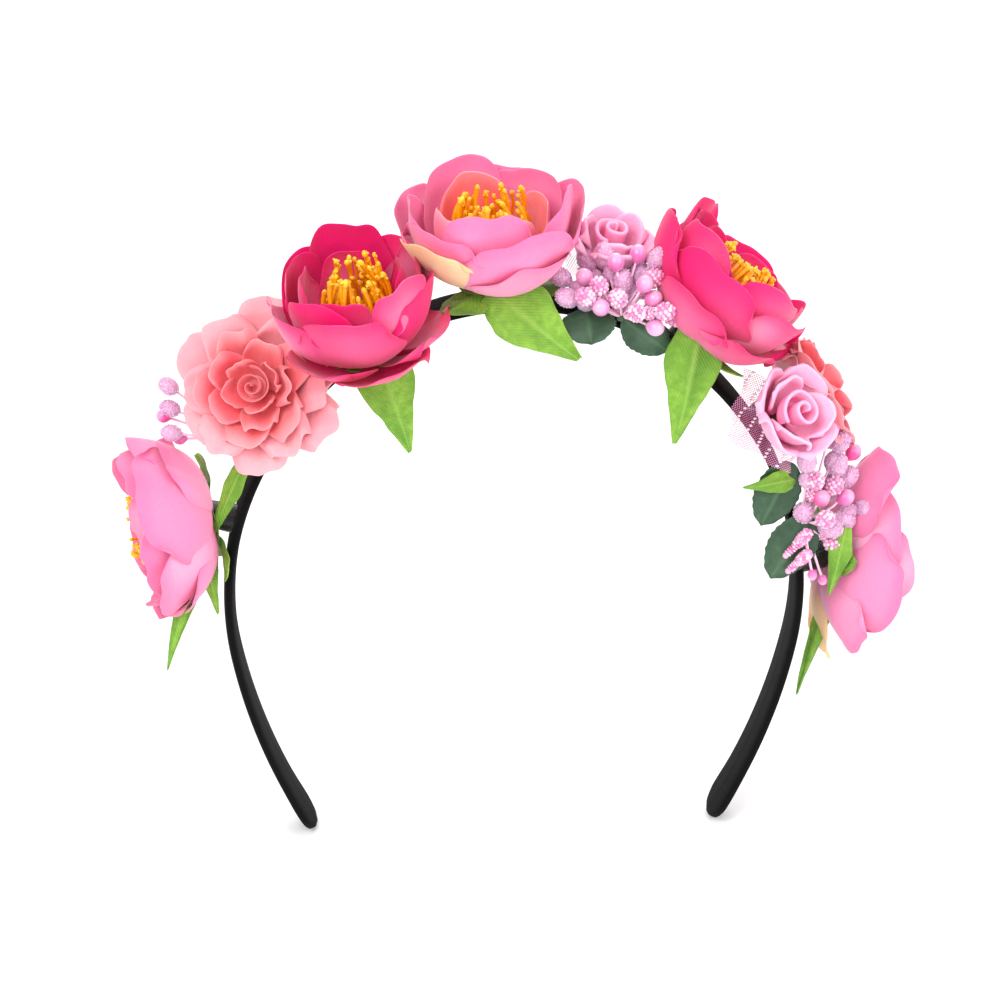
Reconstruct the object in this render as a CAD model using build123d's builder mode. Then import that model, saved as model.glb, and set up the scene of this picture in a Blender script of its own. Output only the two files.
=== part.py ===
# Flower crown: a fabric-sleeved spring band with artificial blooms, berry sprays and leaves glued
# along its top and sides. Millimetres. +X is to the right as seen from the front, +Y to the back of
# the head, +Z up. The origin is the middle of the band's inner face at its top, where the head sits.
from build123d import *
from collections import namedtuple
from math import asin, atan2, cos, degrees, radians, sin, tan
import os

os.makedirs("parts", exist_ok=True)

# Band: three tangent arcs on each side of the top, measured along the strip's centreline
ARC_RADII = (61.2, 81.2, 157.9)
ARC_LENGTHS = (41.2, 87.1, 53.4)
BAND_WIDTH = 12.5
BAND_THICKNESS = 2.6
CORE_WIDTH = 10.9
CORE_THICKNESS = 1.5
SLEEVE_PLAY = 0.05          # between the core and the sleeve's inside, all round
SLEEVE_END = 0.9            # closed end of the sleeve past the core's tip
SLEEVE_ROUNDING = 1.1       # of the sleeve's long edges
CORE_CORNER = 4.8           # rounding of the core's two tips, in the strip's face
SLEEVE_CORNER = 5.8
FLEX_STATION = 120.0        # arc length from the top to the flex line of each arm
FLEX_GAP = 0.6              # slit left for the arm to turn at the flex line
BAND_CLEARANCE = 0.35       # between the band and whatever hangs in front of it

# Blooms: where each is glued (arc length from the top, lift off the band's outer face, shift to
# the back), how its axis leans from upright towards +X and nods to the front, and its size
Bloom = namedtuple("Bloom", "station lift back lean nod radius height turn")
PEONIES = {
    "left_low_peony": Bloom(-92, 4.5, -1, -97, 10, 23.5, 22.5, 20),
    "left_peony": Bloom(-36.5, 0.5, -10, -8, 10, 20, 26, 0),
    "top_peony": Bloom(-5, 2.5, 0, -3, 4, 22.5, 25, 10),
    "right_peony": Bloom(40, 3.5, 0, 40, -2, 22, 24, 30),
    "right_low_peony": Bloom(108, 5.5, 4, 97, -16, 25.5, 18, 0),
}
ROSES = {
    "left_rose": Bloom(-58.5, 9.5, -6, -30, 60, 19, 13, 0),
    "right_rose": Bloom(69, 8, 7, 58, -12, 17.5, 13.5, 15),
}
FOAM_ROSES = {
    "top_foam_rose": Bloom(19, 6, 8, 10, 15, 8.5, 13, 0),
    "right_foam_rose": Bloom(66, 4, -9, 45, 40, 10, 13, 0),
}
BLOOMS = {**PEONIES, **ROSES, **FOAM_ROSES}
# Crowded blooms: the petals of each name give way to the blooms listed for it
GIVES_WAY_TO = {
    "left_low_peony": ("left_rose",),
    "left_rose": ("left_peony",),
    "left_peony": ("top_peony",),
    "top_peony": ("top_foam_rose",),
    "right_peony": ("top_foam_rose", "right_foam_rose"),
    "right_rose": ("right_foam_rose", "right_peony"),
    "right_low_peony": ("right_rose", "right_foam_rose"),
    "top_foam_rose": (),
    "right_foam_rose": (),
}
BLOOM_CLEARANCE = 0.4
# Degrees from an arm's furthest in to its furthest out, and a little more, that sepals keep clear of
ARM_TRAVEL = (-5.0, 13.0)
ARM_TRAVEL_STEPS = 12
ARM_TRAVEL_END = 165.0      # no sepal hangs below this station

# Layers of a bloom, each one piece of formed cloth threaded on the bloom's peg.
# base is the height of the cup's floor in millimetres; rim, height and notch are shares of the
# bloom's radius, height and radius; flare is the wall's steepest slope at the rim, in degrees.
Cup = namedtuple("Cup", "base rim height flare petals notch")
PEONY_CUPS = {
    "outer_petals": Cup(1.2, 1.0, 0.84, 76, 5, 0.24),
    "middle_petals": Cup(2.5, 0.80, 1.0, 80, 5, 0.18),
    "inner_petals": Cup(3.8, 0.60, 0.84, 84, 4, 0.14),
}
ROSE_CUPS = {
    "outer_petals": Cup(1.2, 1.0, 0.62, 50, 6, 0.20),
    "inner_petals": Cup(2.5, 0.72, 0.95, 62, 5, 0.15),
}
FOAM_CUP = Cup(1.2, 1.0, 0.86, 76, 4, 0.22)
CUP_FLOOR = 2.6             # radius of the flat floor round the peg
SHALLOW_FLARE = 0.85        # a shallow cup's wall turns by this share of what one arc would
PETAL_WALL = 1.0
PEG_RADIUS = 1.5
PEG_FIT = 0.05
PEG_ROOT = -0.6
PEG_TOP = 5.0
CALYX_RADIUS = 9.5
CALYX_THICKNESS = 0.6
CALYX_BASE = 0.3
GLUE_RADIUS = 3.6

# Sepals: blades of each peony's calyx, as (turn about the axis, length, droop below its plane).
# Turn 0 points along the band towards +X and -90 to the front.
SEPALS = {
    "left_low_peony": ((-25, 24, 4), (-62, 18, -8), (65, 16, 0), (150, 12, 0)),
    "left_peony": ((-62, 23, 62), (170, 13, 0), (-120, 12, 0), (95, 12, 20)),
    "top_peony": ((-42, 23, 54), (-130, 13, 0), (-10, 13, 0), (80, 13, 0)),
    "right_peony": ((-84, 24, 62), (-30, 13, 0), (60, 13, 0)),
    "right_low_peony": ((-48, 19, 12), (4, 30, 24), (52, 22, 30), (130, 13, 0)),
}
SEPAL_WIDTH = 12.0
SEPAL_ROOT = 8.4

# Berry sprays: (along the band, to the front, height off the outer face) from each spray's station
TOP_SPRAY_STATION = 27
TOP_BERRIES = {
    "pearls": (2.0, ((-15.5, 6, 6), (-10.5, 5.5, 12), (-6, 2.5, 15), (-3.5, 10.5, 11.5), (0, 10, 9),
                     (-10.5, 12.5, 3), (3, 12, 3.5))),
    "seed_berries": (2.2, ((-15, 12.5, 4), (-12.5, 9.5, 6.5), (-7.5, 10.5, 6), (-1, 6.5, 12.5),
                           (-2.5, 12, 5), (3, 13.5, 8.5), (6.5, 10, 7))),
    "sugared_berries": (2.5, ((-12.5, 1, 11.5), (-15, -1.5, 7.5), (-20.5, 5, 3.5), (-18, 9.5, 1),
                              (-1.5, 3, 16), (4, 5.5, 11.5), (-7, 5.5, 8.5), (-3.5, 1.5, 10.5))),
}
RIGHT_SPRAY_STATION = 88
RIGHT_BERRIES = {
    "pearls": (2.0, ((-5, 1.5, 17), (-0.5, 10.5, 6.5), (3, 7, 12), (-15, 5, 14))),
    "seed_berries": (2.2, ((-5, 9.5, 6.5), (-1.5, 8, 10.5), (4, 12.5, 6), (13.5, 7.5, 6))),
    "sugared_berries": (2.7, ((-10.5, 9, 6), (-10, 3.5, 15), (-4.5, 4.5, 12.5), (2, 9.8, 1.5),
                              (10, 2, 16.5), (10, 4.5, 10), (1, 1, 14), (8.5, 9, 6.5))),
}
LEFT_SPRAY_STATION = -72
LEFT_BERRIES = {
    "pearls": (1.6, ((-3.9, 1.8, 24.4), (-7, 2, 18.5))),
    "sugared_berries": (2.2, ((3.5, 2, 27), (-0.5, 4, 24.5), (-5.5, 5, 21.5))),
}
STEM_RADIUS = 0.35
KNOT_RADIUS = 1.1
BERRY_POCKET = 0.3          # room that petals and leaves leave round a berry

# Beaded stamens of the right spray: rods from one place to another, coated in seed beads
BEADED_RODS = (((7, 11, 1.5), (10, 11.5, -5)), ((12, 11.5, 0), (14, 12, -5.5)))
BEADED_ROD_RADIUS = 1.6
SMOOTH_BUDS = ((17.5, 12, -1), (21, 9.5, 1))
SMOOTH_BUD_RADIUS = 1.2

# Rose leaves: root and tip as (arc length, to the front, height off the outer face), and width
Leaf = namedtuple("Leaf", "root tip width facing")
ROSE_LEAVES = {
    "top_rose_leaves": (
        Leaf((15, 7.2, 0.8), (17, 17, -4), 13, (0, -0.4, 1)),
        Leaf((24, 7.2, 1), (37, 7.4, -1), 10, (0, -1, 0)),
    ),
    "right_rose_leaves": (
        Leaf((78, 7.2, 3), (91, 7.8, -9), 11, (0, -1, 0)),
        Leaf((92, 8.8, 3), (106, 9.4, -9), 12, (0, -1, 0)),
    ),
}
LEAF_THICKNESS = 0.4

BEND_STATIONS = [side * length for length in (ARC_LENGTHS[0], sum(ARC_LENGTHS[:2])) for side in (-1, 1)]
TIP_STATION = sum(ARC_LENGTHS)


def band_heading(station):
    """Angle of the band's outward normal from upright, in radians, at an arc length from the top."""
    left, turn = abs(station), 0.0
    for radius, length in zip(ARC_RADII, ARC_LENGTHS):
        turn += min(left, length) / radius
        left -= min(left, length)
    return turn if station >= 0 else -turn


def band_point(station, height=0.0):
    """X and Z of a point at an arc length from the top and a height off the strip's centreline."""
    left, turn = abs(station), 0.0
    x, z = 0.0, BAND_THICKNESS / 2
    for radius, length in zip(ARC_RADII, ARC_LENGTHS):
        step = min(left, length)
        x += radius * (sin(turn + step / radius) - sin(turn))
        z -= radius * (cos(turn) - cos(turn + step / radius))
        turn += step / radius
        left -= step
    side = 1 if station >= 0 else -1
    return (side * (x + height * sin(turn)), z + height * cos(turn))


def band_place(station, front=0.0, height=0.0):
    """Point over the band's outer face: an arc length from the top, to the front, and above it."""
    x, z = band_point(station, BAND_THICKNESS / 2 + height)
    return Vector(x, -front, z)


def spray_place(station, place):
    """Point of a spray: along the band's tangent, to the front and above its outer face."""
    along, front, height = place
    turn = band_heading(station)
    tangent, normal = Vector(cos(turn), 0, -sin(turn)), Vector(sin(turn), 0, cos(turn))
    return band_place(station, front) + tangent * along + normal * height


def strip(first, last, thickness, width, corner=0.0, rounding=0.0):
    """Length of the band between two stations, with its tip's corners and long edges rounded."""
    bends = [first] + sorted(bend for bend in BEND_STATIONS if first < bend < last) + [last]
    with BuildPart() as length_of_band:
        with BuildSketch(Plane.XZ):
            with BuildLine():
                for height in (-thickness / 2, thickness / 2):
                    for start, end in zip(bends, bends[1:]):
                        ThreePointArc(*(band_point(s, height) for s in (start, (start + end) / 2, end)))
                for end in (first, last):
                    Line(band_point(end, -thickness / 2), band_point(end, thickness / 2))
            make_face()
        extrude(amount=width / 2, both=True)
        if corner:
            short_edges = length_of_band.edges().filter_by(lambda e: abs(e.length - thickness) < 0.01)
            fillet(short_edges.group_by(Axis.Z)[0], radius=corner)
        if rounding:
            sides = length_of_band.faces().filter_by(Axis.Y).sort_by(Axis.Y)
            long_edges = (sides[0].edges() + sides[-1].edges()).filter_by(GeomType.CIRCLE)
            fillet(long_edges, radius=rounding)
    return length_of_band.part


def bloom_frame(bloom):
    """Plane at a bloom's base: Z along its axis, X along the band, Y to the back."""
    lean, nod = radians(bloom.lean), radians(bloom.nod)
    axis = Vector(sin(lean) * cos(nod), -sin(nod), cos(lean) * cos(nod))
    return Plane(
        origin=band_place(bloom.station, -bloom.back, bloom.lift),
        x_dir=Vector(0, 1, 0).cross(axis).normalized(),
        z_dir=axis,
    )


def bloom_section(bloom):
    """Plane through a bloom's axis: X out from the axis, Y along it."""
    frame = bloom_frame(bloom)
    return Plane(origin=frame.origin, x_dir=frame.x_dir, z_dir=-frame.y_dir)


def bloom_axis(bloom):
    frame = bloom_frame(bloom)
    return Axis(frame.origin, frame.z_dir)


def cup_line(bloom, cup, start, inset):
    """Line of a cup's wall, from a start radius: a flat floor, one bend and a straight flare.

    The line lies inset towards the cup's inside, parallel to the cup's outer face.
    """
    top, rim = cup.height * bloom.height, cup.rim * bloom.radius
    one_arc = 2 * atan2(top - cup.base, rim - CUP_FLOOR)    # turn of a wall that has no straight part
    flare = min(radians(cup.flare), SHALLOW_FLARE * one_arc)
    floor, rim = cup.base + inset, rim - inset / sin(flare)
    bend_radius = (rim - CUP_FLOOR - (top - floor) / tan(flare)) / tan(flare / 2)
    level = Line((start, floor), (CUP_FLOOR, floor))
    bend = JernArc(start=level @ 1, tangent=(1, 0), radius=bend_radius, arc_size=degrees(flare))
    wall = Line(bend @ 1, (rim, top))
    return level @ 0, wall @ 1


def cap(radius, height, rise):
    """Dome of a solid of revolution: an arc centred on the axis, from its edge to its top."""
    ball = (radius**2 + rise**2) / (2 * rise)
    half = asin(radius / ball) / 2
    centre = height + rise - ball
    return ThreePointArc(
        (radius, height), (ball * sin(half), centre + ball * cos(half)), (0, height + rise)
    )


def bloom_room(bloom, cups):
    """Closed solid that a bloom fills, with clearance, to keep its neighbours out."""
    top = max(cup.height for cup in cups) * bloom.height + BLOOM_CLEARANCE
    with BuildPart() as room:
        with BuildSketch(bloom_section(bloom)):
            with BuildLine():
                foot, rim = cup_line(bloom, cups[0], 0, -BLOOM_CLEARANCE)
                Polyline(rim, (rim.X * 0.85, top), (0, top), foot)
            make_face()
        revolve(axis=bloom_axis(bloom))
    return room.part


def largest(part):
    """The main solid of a part whose trimming may have left crumbs."""
    return part.solids().sort_by(SortBy.VOLUME)[-1]


def petal_cup(bloom, cup, keep_out):
    """Cup of formed cloth: a thin wall from the peg's hole to a rim that notches part into petals."""
    rim, height = cup.rim * bloom.radius, cup.height * bloom.height
    hole = PEG_RADIUS + PEG_FIT
    with BuildPart() as petals:
        with BuildSketch(bloom_section(bloom)):
            with BuildLine():
                outer_foot, outer_rim = cup_line(bloom, cup, hole, 0)
                inner_foot, inner_rim = cup_line(bloom, cup, hole, PETAL_WALL)
                Line(outer_foot, inner_foot)
                Line(outer_rim, inner_rim)
            make_face()
        revolve(axis=bloom_axis(bloom))
        with BuildSketch(bloom_frame(bloom).offset(height * 0.55)):
            with PolarLocations(rim, cup.petals, start_angle=bloom.turn):
                Circle(cup.notch * bloom.radius)
        extrude(amount=height, mode=Mode.SUBTRACT)
        for solid in keep_out:
            add(solid, mode=Mode.SUBTRACT)
    return largest(petals.part)


def blade(plane, length, width, thickness):
    """Flat pointed leaf on a plane, from its origin along the plane's X."""
    with BuildPart() as leaf:
        with BuildSketch(plane):
            with BuildLine():
                near = ThreePointArc((0, -width * 0.22), (length * 0.42, -width / 2), (length, 0))
                far = ThreePointArc((0, width * 0.22), (length * 0.42, width / 2), (length, 0))
                Line(near @ 0, far @ 0)
            make_face()
        extrude(amount=thickness)
    return leaf.part


def calyx(bloom, sepals, keep_out):
    """Green star under a peony: a disc with pointed sepals, some lying out and some drooping."""
    frame = bloom_frame(bloom)
    with BuildPart() as star:
        with BuildSketch(frame.offset(CALYX_BASE)):
            Circle(CALYX_RADIUS)
        extrude(amount=CALYX_THICKNESS)
        for turn, length, droop in sepals:
            out = frame.x_dir * cos(radians(turn)) + frame.y_dir * sin(radians(turn))
            along = out * cos(radians(droop)) - frame.z_dir * sin(radians(droop))
            facing = frame.z_dir * cos(radians(droop)) + out * sin(radians(droop))
            root = frame.origin + out * SEPAL_ROOT + frame.z_dir * CALYX_BASE
            add(blade(Plane(origin=root, x_dir=along, z_dir=facing), length, SEPAL_WIDTH, CALYX_THICKNESS))
        with BuildSketch(frame):
            Circle(PEG_RADIUS + PEG_FIT)
        extrude(amount=CALYX_BASE + CALYX_THICKNESS, mode=Mode.SUBTRACT)
        for solid in keep_out:
            add(solid, mode=Mode.SUBTRACT)
    return largest(star.part)


def stamen_brush(bloom):
    """Closed brush of the stamens: a stem on the peg's top that flares to a domed head."""
    foot, head = PEG_TOP + PEG_FIT, bloom.height * 0.78
    flare = bloom.radius * 0.34
    with BuildPart() as brush:
        with BuildSketch(bloom_section(bloom)):
            with BuildLine():
                side = Polyline((0, foot), (PEG_RADIUS, foot), (PEG_RADIUS + 0.6, foot + 1), (flare, head))
                dome = cap(flare, head, flare * 0.4)
                Line(dome @ 1, side @ 0)
            make_face()
        revolve(axis=bloom_axis(bloom))
    return brush.part


def bud_core(bloom, radius, base, height):
    """Closed rolled heart of a rose: a barrel with a domed top, standing on the layers below."""
    with BuildPart() as bud:
        with BuildSketch(bloom_section(bloom)):
            with BuildLine():
                side = Polyline((0, base), (PEG_RADIUS, base), (radius, (base + height) / 2), (radius, height))
                dome = cap(radius, height, radius * 0.35)
                Line(dome @ 1, side @ 0)
            make_face()
        revolve(axis=bloom_axis(bloom))
    return bud.part


def tulle_collar(bloom, radius, keep_out):
    """Disc of dotted net gathered under a foam rose."""
    frame = bloom_frame(bloom)
    with BuildPart() as collar:
        with BuildSketch(frame.offset(CALYX_BASE)):
            Circle(radius)
            Circle(PEG_RADIUS + PEG_FIT, mode=Mode.SUBTRACT)
        extrude(amount=0.4)
        for solid in keep_out:
            add(solid, mode=Mode.SUBTRACT)
    return largest(collar.part)


def peg(bloom):
    """Plastic peg that the layers of a bloom are threaded on."""
    with BuildPart() as pin:
        with BuildSketch(bloom_frame(bloom).offset(PEG_ROOT)):
            Circle(PEG_RADIUS)
        extrude(amount=PEG_TOP - PEG_ROOT)
    return pin.part


def glue_pad(bloom, top, keep_out):
    """Blob of hot glue between the band's outer face and the underside of a bloom."""
    front = max(-2.4, min(2.4, -bloom.back))
    turn = band_heading(bloom.station)
    foot = band_place(bloom.station, front, -0.5)
    with BuildPart() as pad:
        with BuildSketch(Plane(origin=foot, x_dir=(0, 1, 0), z_dir=(sin(turn), 0, cos(turn)))):
            Circle(GLUE_RADIUS)
        with BuildSketch(bloom_frame(bloom).offset(top)):
            Circle(GLUE_RADIUS)
        loft()
        add(peg(bloom), mode=Mode.SUBTRACT)
        for solid in keep_out:
            add(solid, mode=Mode.SUBTRACT)
    return largest(pad.part)


def rose_leaf(leaf, keep_out):
    """Flat serrated leaf from its root to its tip, facing the way it is given."""
    root, tip = band_place(*leaf.root), band_place(*leaf.tip)
    along = (tip - root).normalized()
    facing = Vector(*leaf.facing)
    facing = (facing - along * facing.dot(along)).normalized()
    plane = Plane(origin=root, x_dir=along, z_dir=facing)
    with BuildPart() as trimmed:
        add(blade(plane, (tip - root).length, leaf.width, LEAF_THICKNESS))
        for solid in keep_out:
            add(solid, mode=Mode.SUBTRACT)
    return largest(trimmed.part)


def balls(places, radius):
    with BuildPart() as group:
        with Locations(*places):
            Sphere(radius)
    return group.part


def rod(start, end, radius):
    """Round rod with ball ends."""
    with BuildPart() as stick:
        with BuildSketch(Plane(origin=start, z_dir=end - start)):
            Circle(radius)
        extrude(amount=(end - start).length)
        with Locations(start, end):
            Sphere(radius)
    return stick.part


def stems(knot, ends, keep_out):
    """Wires of a spray, bound in one knot at the band and running to each berry."""
    with BuildPart() as wires:
        with Locations(knot):
            Sphere(KNOT_RADIUS)
        for end in ends:
            with BuildSketch(Plane(origin=knot, z_dir=end - knot)):
                Circle(STEM_RADIUS)
            extrude(amount=(end - knot).length)
        for solid in keep_out:
            add(solid, mode=Mode.SUBTRACT)
    return largest(wires.part)


def save(part, node):
    part.label = node
    export_step(part, f"parts/{node}.step")


def save_group(solids, node):
    """Several separate solids of one kind in one node."""
    save(Compound(label=node, children=list(solids)), node)


# Band: a spring strip in a sleeve, with a slit at each flex line
crown_end = FLEX_STATION - FLEX_GAP / 2
arm_start = FLEX_STATION + FLEX_GAP / 2
core_tip = TIP_STATION - SLEEVE_END
cavity = (CORE_THICKNESS + 2 * SLEEVE_PLAY, CORE_WIDTH + 2 * SLEEVE_PLAY)

save(strip(-crown_end, crown_end, CORE_THICKNESS, CORE_WIDTH), "band_core")
with BuildPart() as band_sleeve:
    add(strip(-crown_end, crown_end, BAND_THICKNESS, BAND_WIDTH, rounding=SLEEVE_ROUNDING))
    add(strip(-FLEX_STATION, FLEX_STATION, *cavity), mode=Mode.SUBTRACT)
save(band_sleeve.part, "band_sleeve")

right_core = strip(arm_start, core_tip, CORE_THICKNESS, CORE_WIDTH, CORE_CORNER)
with BuildPart() as right_sleeve:
    add(strip(arm_start, TIP_STATION, BAND_THICKNESS, BAND_WIDTH, SLEEVE_CORNER, SLEEVE_ROUNDING))
    add(strip(FLEX_STATION, core_tip + SLEEVE_PLAY, *cavity, CORE_CORNER), mode=Mode.SUBTRACT)
save(right_core, "band_core_right_arm")
save(right_sleeve.part, "band_sleeve_right_arm")
save(mirror(right_core, about=Plane.YZ), "band_core_left_arm")
save(mirror(right_sleeve.part, about=Plane.YZ), "band_sleeve_left_arm")

band_block = strip(-TIP_STATION, TIP_STATION, BAND_THICKNESS, BAND_WIDTH)
band_room = strip(
    -TIP_STATION, TIP_STATION, BAND_THICKNESS + 2 * BAND_CLEARANCE, BAND_WIDTH + 2 * BAND_CLEARANCE
)

# Room that the right arm sweeps as it flexes about its flex line, out being towards +X
flex_x, flex_z = band_point(FLEX_STATION)
flex_axis = Axis((flex_x, 0, flex_z), (0, -1, 0))
arm_block = strip(
    FLEX_STATION, ARM_TRAVEL_END, BAND_THICKNESS + 2 * BAND_CLEARANCE, BAND_WIDTH + 2 * BAND_CLEARANCE
)
travel_step = (ARM_TRAVEL[1] - ARM_TRAVEL[0]) / ARM_TRAVEL_STEPS
arm_rooms = [
    arm_block.rotate(flex_axis, ARM_TRAVEL[0] + step * travel_step) for step in range(ARM_TRAVEL_STEPS + 1)
]

# Berries first, because petals and leaves make room for them
sprays = (
    ("top", TOP_SPRAY_STATION, TOP_BERRIES),
    ("right", RIGHT_SPRAY_STATION, RIGHT_BERRIES),
    ("left", LEFT_SPRAY_STATION, LEFT_BERRIES),
)
pockets = []
for side, station, kinds in sprays:
    for kind, (radius, places) in kinds.items():
        points = [spray_place(station, place) for place in places]
        save(balls(points, radius), f"{side}_spray_{kind}")
        pockets += [balls([point], radius + BERRY_POCKET) for point in points]
rods = [
    rod(spray_place(RIGHT_SPRAY_STATION, start), spray_place(RIGHT_SPRAY_STATION, end), BEADED_ROD_RADIUS)
    for start, end in BEADED_RODS
]
save_group(rods, "right_spray_beaded_stamens")
buds = [spray_place(RIGHT_SPRAY_STATION, place) for place in SMOOTH_BUDS]
save(balls(buds, SMOOTH_BUD_RADIUS), "right_spray_smooth_buds")
pockets += [balls([bud], SMOOTH_BUD_RADIUS + BERRY_POCKET) for bud in buds]
pockets += [
    rod(spray_place(RIGHT_SPRAY_STATION, start), spray_place(RIGHT_SPRAY_STATION, end),
        BEADED_ROD_RADIUS + BERRY_POCKET)
    for start, end in BEADED_RODS
]

# Stems: the knot of each spray lies on the band's front edge
KNOTS = {"top": (-4, 7.6, 1.2), "right": (5, 7.6, 1.2), "left": (0, 1, 1.2)}
stem_rooms = []
for side, station, kinds in sprays:
    knot = spray_place(station, KNOTS[side])
    ends = [spray_place(station, place) for _, places in kinds.values() for place in places]
    if side == "right":
        ends += buds + [spray_place(station, start) for start, _ in BEADED_RODS]
    berries = [balls([end], radius) for radius, places in kinds.values()
               for end in [spray_place(station, place) for place in places]]
    extra = rods + [balls(buds, SMOOTH_BUD_RADIUS)] if side == "right" else []
    wires = stems(knot, ends, berries + extra + [band_block])
    save(wires, f"{side}_spray_stems")
    stem_rooms.append(wires)

# Blooms
CUPS = {
    **{name: list(PEONY_CUPS.values()) for name in PEONIES},
    **{name: list(ROSE_CUPS.values()) for name in ROSES},
    **{name: [FOAM_CUP] for name in FOAM_ROSES},
}
rooms = {name: bloom_room(bloom, CUPS[name]) for name, bloom in BLOOMS.items()}
stars = {}
pegs = [peg(bloom) for bloom in BLOOMS.values()]
for name, bloom in BLOOMS.items():
    keep_out = [band_room] + [rooms[other] for other in GIVES_WAY_TO[name]] + pockets + stem_rooms
    around = keep_out + [rooms[other] for other in BLOOMS if name in GIVES_WAY_TO[other]]
    if name in PEONIES:
        swept = arm_rooms if name == "right_low_peony" else []
        stars[name] = calyx(bloom, SEPALS[name], around + swept)
        save(stars[name], f"{name}_sepals")
        for layer, cup in PEONY_CUPS.items():
            save(petal_cup(bloom, cup, keep_out), f"{name}_{layer}")
        save(stamen_brush(bloom), f"{name}_stamens")
    elif name in ROSES:
        for layer, cup in ROSE_CUPS.items():
            save(petal_cup(bloom, cup, keep_out), f"{name}_{layer}")
        save(bud_core(bloom, bloom.radius * 0.42, PEG_TOP + PEG_FIT, bloom.height * 0.92), f"{name}_bud")
    else:
        save(petal_cup(bloom, FOAM_CUP, keep_out), f"{name}_petals")
        save(bud_core(bloom, bloom.radius * 0.55, PEG_TOP + PEG_FIT, bloom.height * 0.88), f"{name}_bud")
        save(tulle_collar(bloom, bloom.radius * 1.25, around + list(stars.values())), f"{name}_tulle")
save_group(pegs, "bloom_pegs")
glue_top = {name: CALYX_BASE if name not in ROSES else ROSE_CUPS["outer_petals"].base for name in BLOOMS}
save_group(
    [glue_pad(bloom, glue_top[name], [band_block]) for name, bloom in BLOOMS.items()], "glue_pads"
)

# Rose leaves, flat and pointed, lying in front of the band
for node, leaves in ROSE_LEAVES.items():
    solids = [rose_leaf(leaf, [band_room] + pockets + stem_rooms) for leaf in leaves]
    save_group(solids, node)
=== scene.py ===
from collections import namedtuple
from math import atan2, cos, exp, hypot, pi, radians, sin, sqrt
from random import Random

import bmesh
import bpy
import numpy as np
from mathutils import Matrix, Vector, noise


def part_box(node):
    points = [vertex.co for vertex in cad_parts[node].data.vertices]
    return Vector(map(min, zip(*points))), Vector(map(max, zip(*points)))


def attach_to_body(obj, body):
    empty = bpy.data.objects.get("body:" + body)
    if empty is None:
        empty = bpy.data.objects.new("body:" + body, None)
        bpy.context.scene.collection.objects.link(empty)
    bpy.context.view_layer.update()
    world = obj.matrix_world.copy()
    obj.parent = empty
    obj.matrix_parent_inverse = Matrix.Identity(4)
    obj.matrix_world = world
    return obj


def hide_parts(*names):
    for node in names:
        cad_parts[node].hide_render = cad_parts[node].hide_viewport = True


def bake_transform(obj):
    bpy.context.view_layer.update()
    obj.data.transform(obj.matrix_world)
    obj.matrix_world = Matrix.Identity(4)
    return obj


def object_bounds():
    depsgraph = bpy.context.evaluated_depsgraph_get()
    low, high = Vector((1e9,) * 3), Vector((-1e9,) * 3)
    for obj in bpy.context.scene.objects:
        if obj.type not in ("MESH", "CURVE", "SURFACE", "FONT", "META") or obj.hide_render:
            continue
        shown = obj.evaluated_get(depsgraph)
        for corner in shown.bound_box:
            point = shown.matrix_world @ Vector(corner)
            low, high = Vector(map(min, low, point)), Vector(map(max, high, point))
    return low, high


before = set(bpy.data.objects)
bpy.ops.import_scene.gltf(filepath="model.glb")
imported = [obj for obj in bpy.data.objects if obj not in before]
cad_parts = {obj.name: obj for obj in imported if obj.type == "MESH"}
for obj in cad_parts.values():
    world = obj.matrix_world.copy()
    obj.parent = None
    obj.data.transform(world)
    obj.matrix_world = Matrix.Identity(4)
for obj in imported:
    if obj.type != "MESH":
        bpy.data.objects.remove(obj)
cad_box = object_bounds()
scene = bpy.context.scene


# Stage. A plain pale sheet that the crown's two tips stand on, lit by a white room and three large
# soft lamps, and the camera in front of the crown, a little above it.
AIM = Vector((-0.0036, 0, -0.0506))
DISTANCE = 0.750
ELEVATION = radians(26.3)
AZIMUTH = radians(-3.6)
ROLL = radians(-0.31)
FOCAL_LENGTH = 113.2
SENSOR_WIDTH = 36
FLOOR_SIZE = 6.0
FLOOR_GAP = 0.0002

scene.view_settings.view_transform = "Standard"


def new_material(name, **settings):
    """Principled material, with values for its shader's own sockets, and its node tree."""
    material = bpy.data.materials.new(name)
    material.use_nodes = True
    shader = material.node_tree.nodes["Principled BSDF"]
    for socket, value in settings.items():
        shader.inputs[socket.replace("_", " ")].default_value = value
    return material, material.node_tree, shader


def feed(tree, socket, value):
    """Gives a node's socket a value, or the output that it reads."""
    if isinstance(value, bpy.types.NodeSocket):
        tree.links.new(value, socket)
    else:
        socket.default_value = value


def add_node(tree, kind, **inputs):
    """Shader node with its inputs, each a value or another node's output."""
    node = tree.nodes.new(f"ShaderNode{kind}")
    for name, value in inputs.items():
        feed(tree, node.inputs[name.replace("_", " ")], value)
    return node


def reckon(tree, operation, *terms):
    """Output of a sum or comparison of two terms, each a value or an output."""
    node = tree.nodes.new("ShaderNodeMath")
    node.operation = operation
    for socket, value in zip(node.inputs, terms):
        feed(tree, socket, value)
    return node.outputs[0]


def shade_between(tree, mask, low, high, blend="MIX"):
    """Output of a colour between two, by a mask."""
    mix = tree.nodes.new("ShaderNodeMix")
    mix.data_type = "RGBA"
    mix.blend_type = blend
    for name, value in (("Factor", mask), ("A", low), ("B", high)):
        feed(tree, mix.inputs[name], value)
    return mix.outputs["Result"]


def cloudy_material(name, scale, low, high, **settings):
    """Material that drifts between two colours, and its tree, shader and clouds."""
    material, tree, shader = new_material(name, **settings)
    clouds = add_node(tree, "TexNoise", Scale=scale)
    tree.links.new(shade_between(tree, clouds.outputs["Fac"], low, high), shader.inputs["Base Color"])
    return material, tree, shader, clouds


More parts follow.
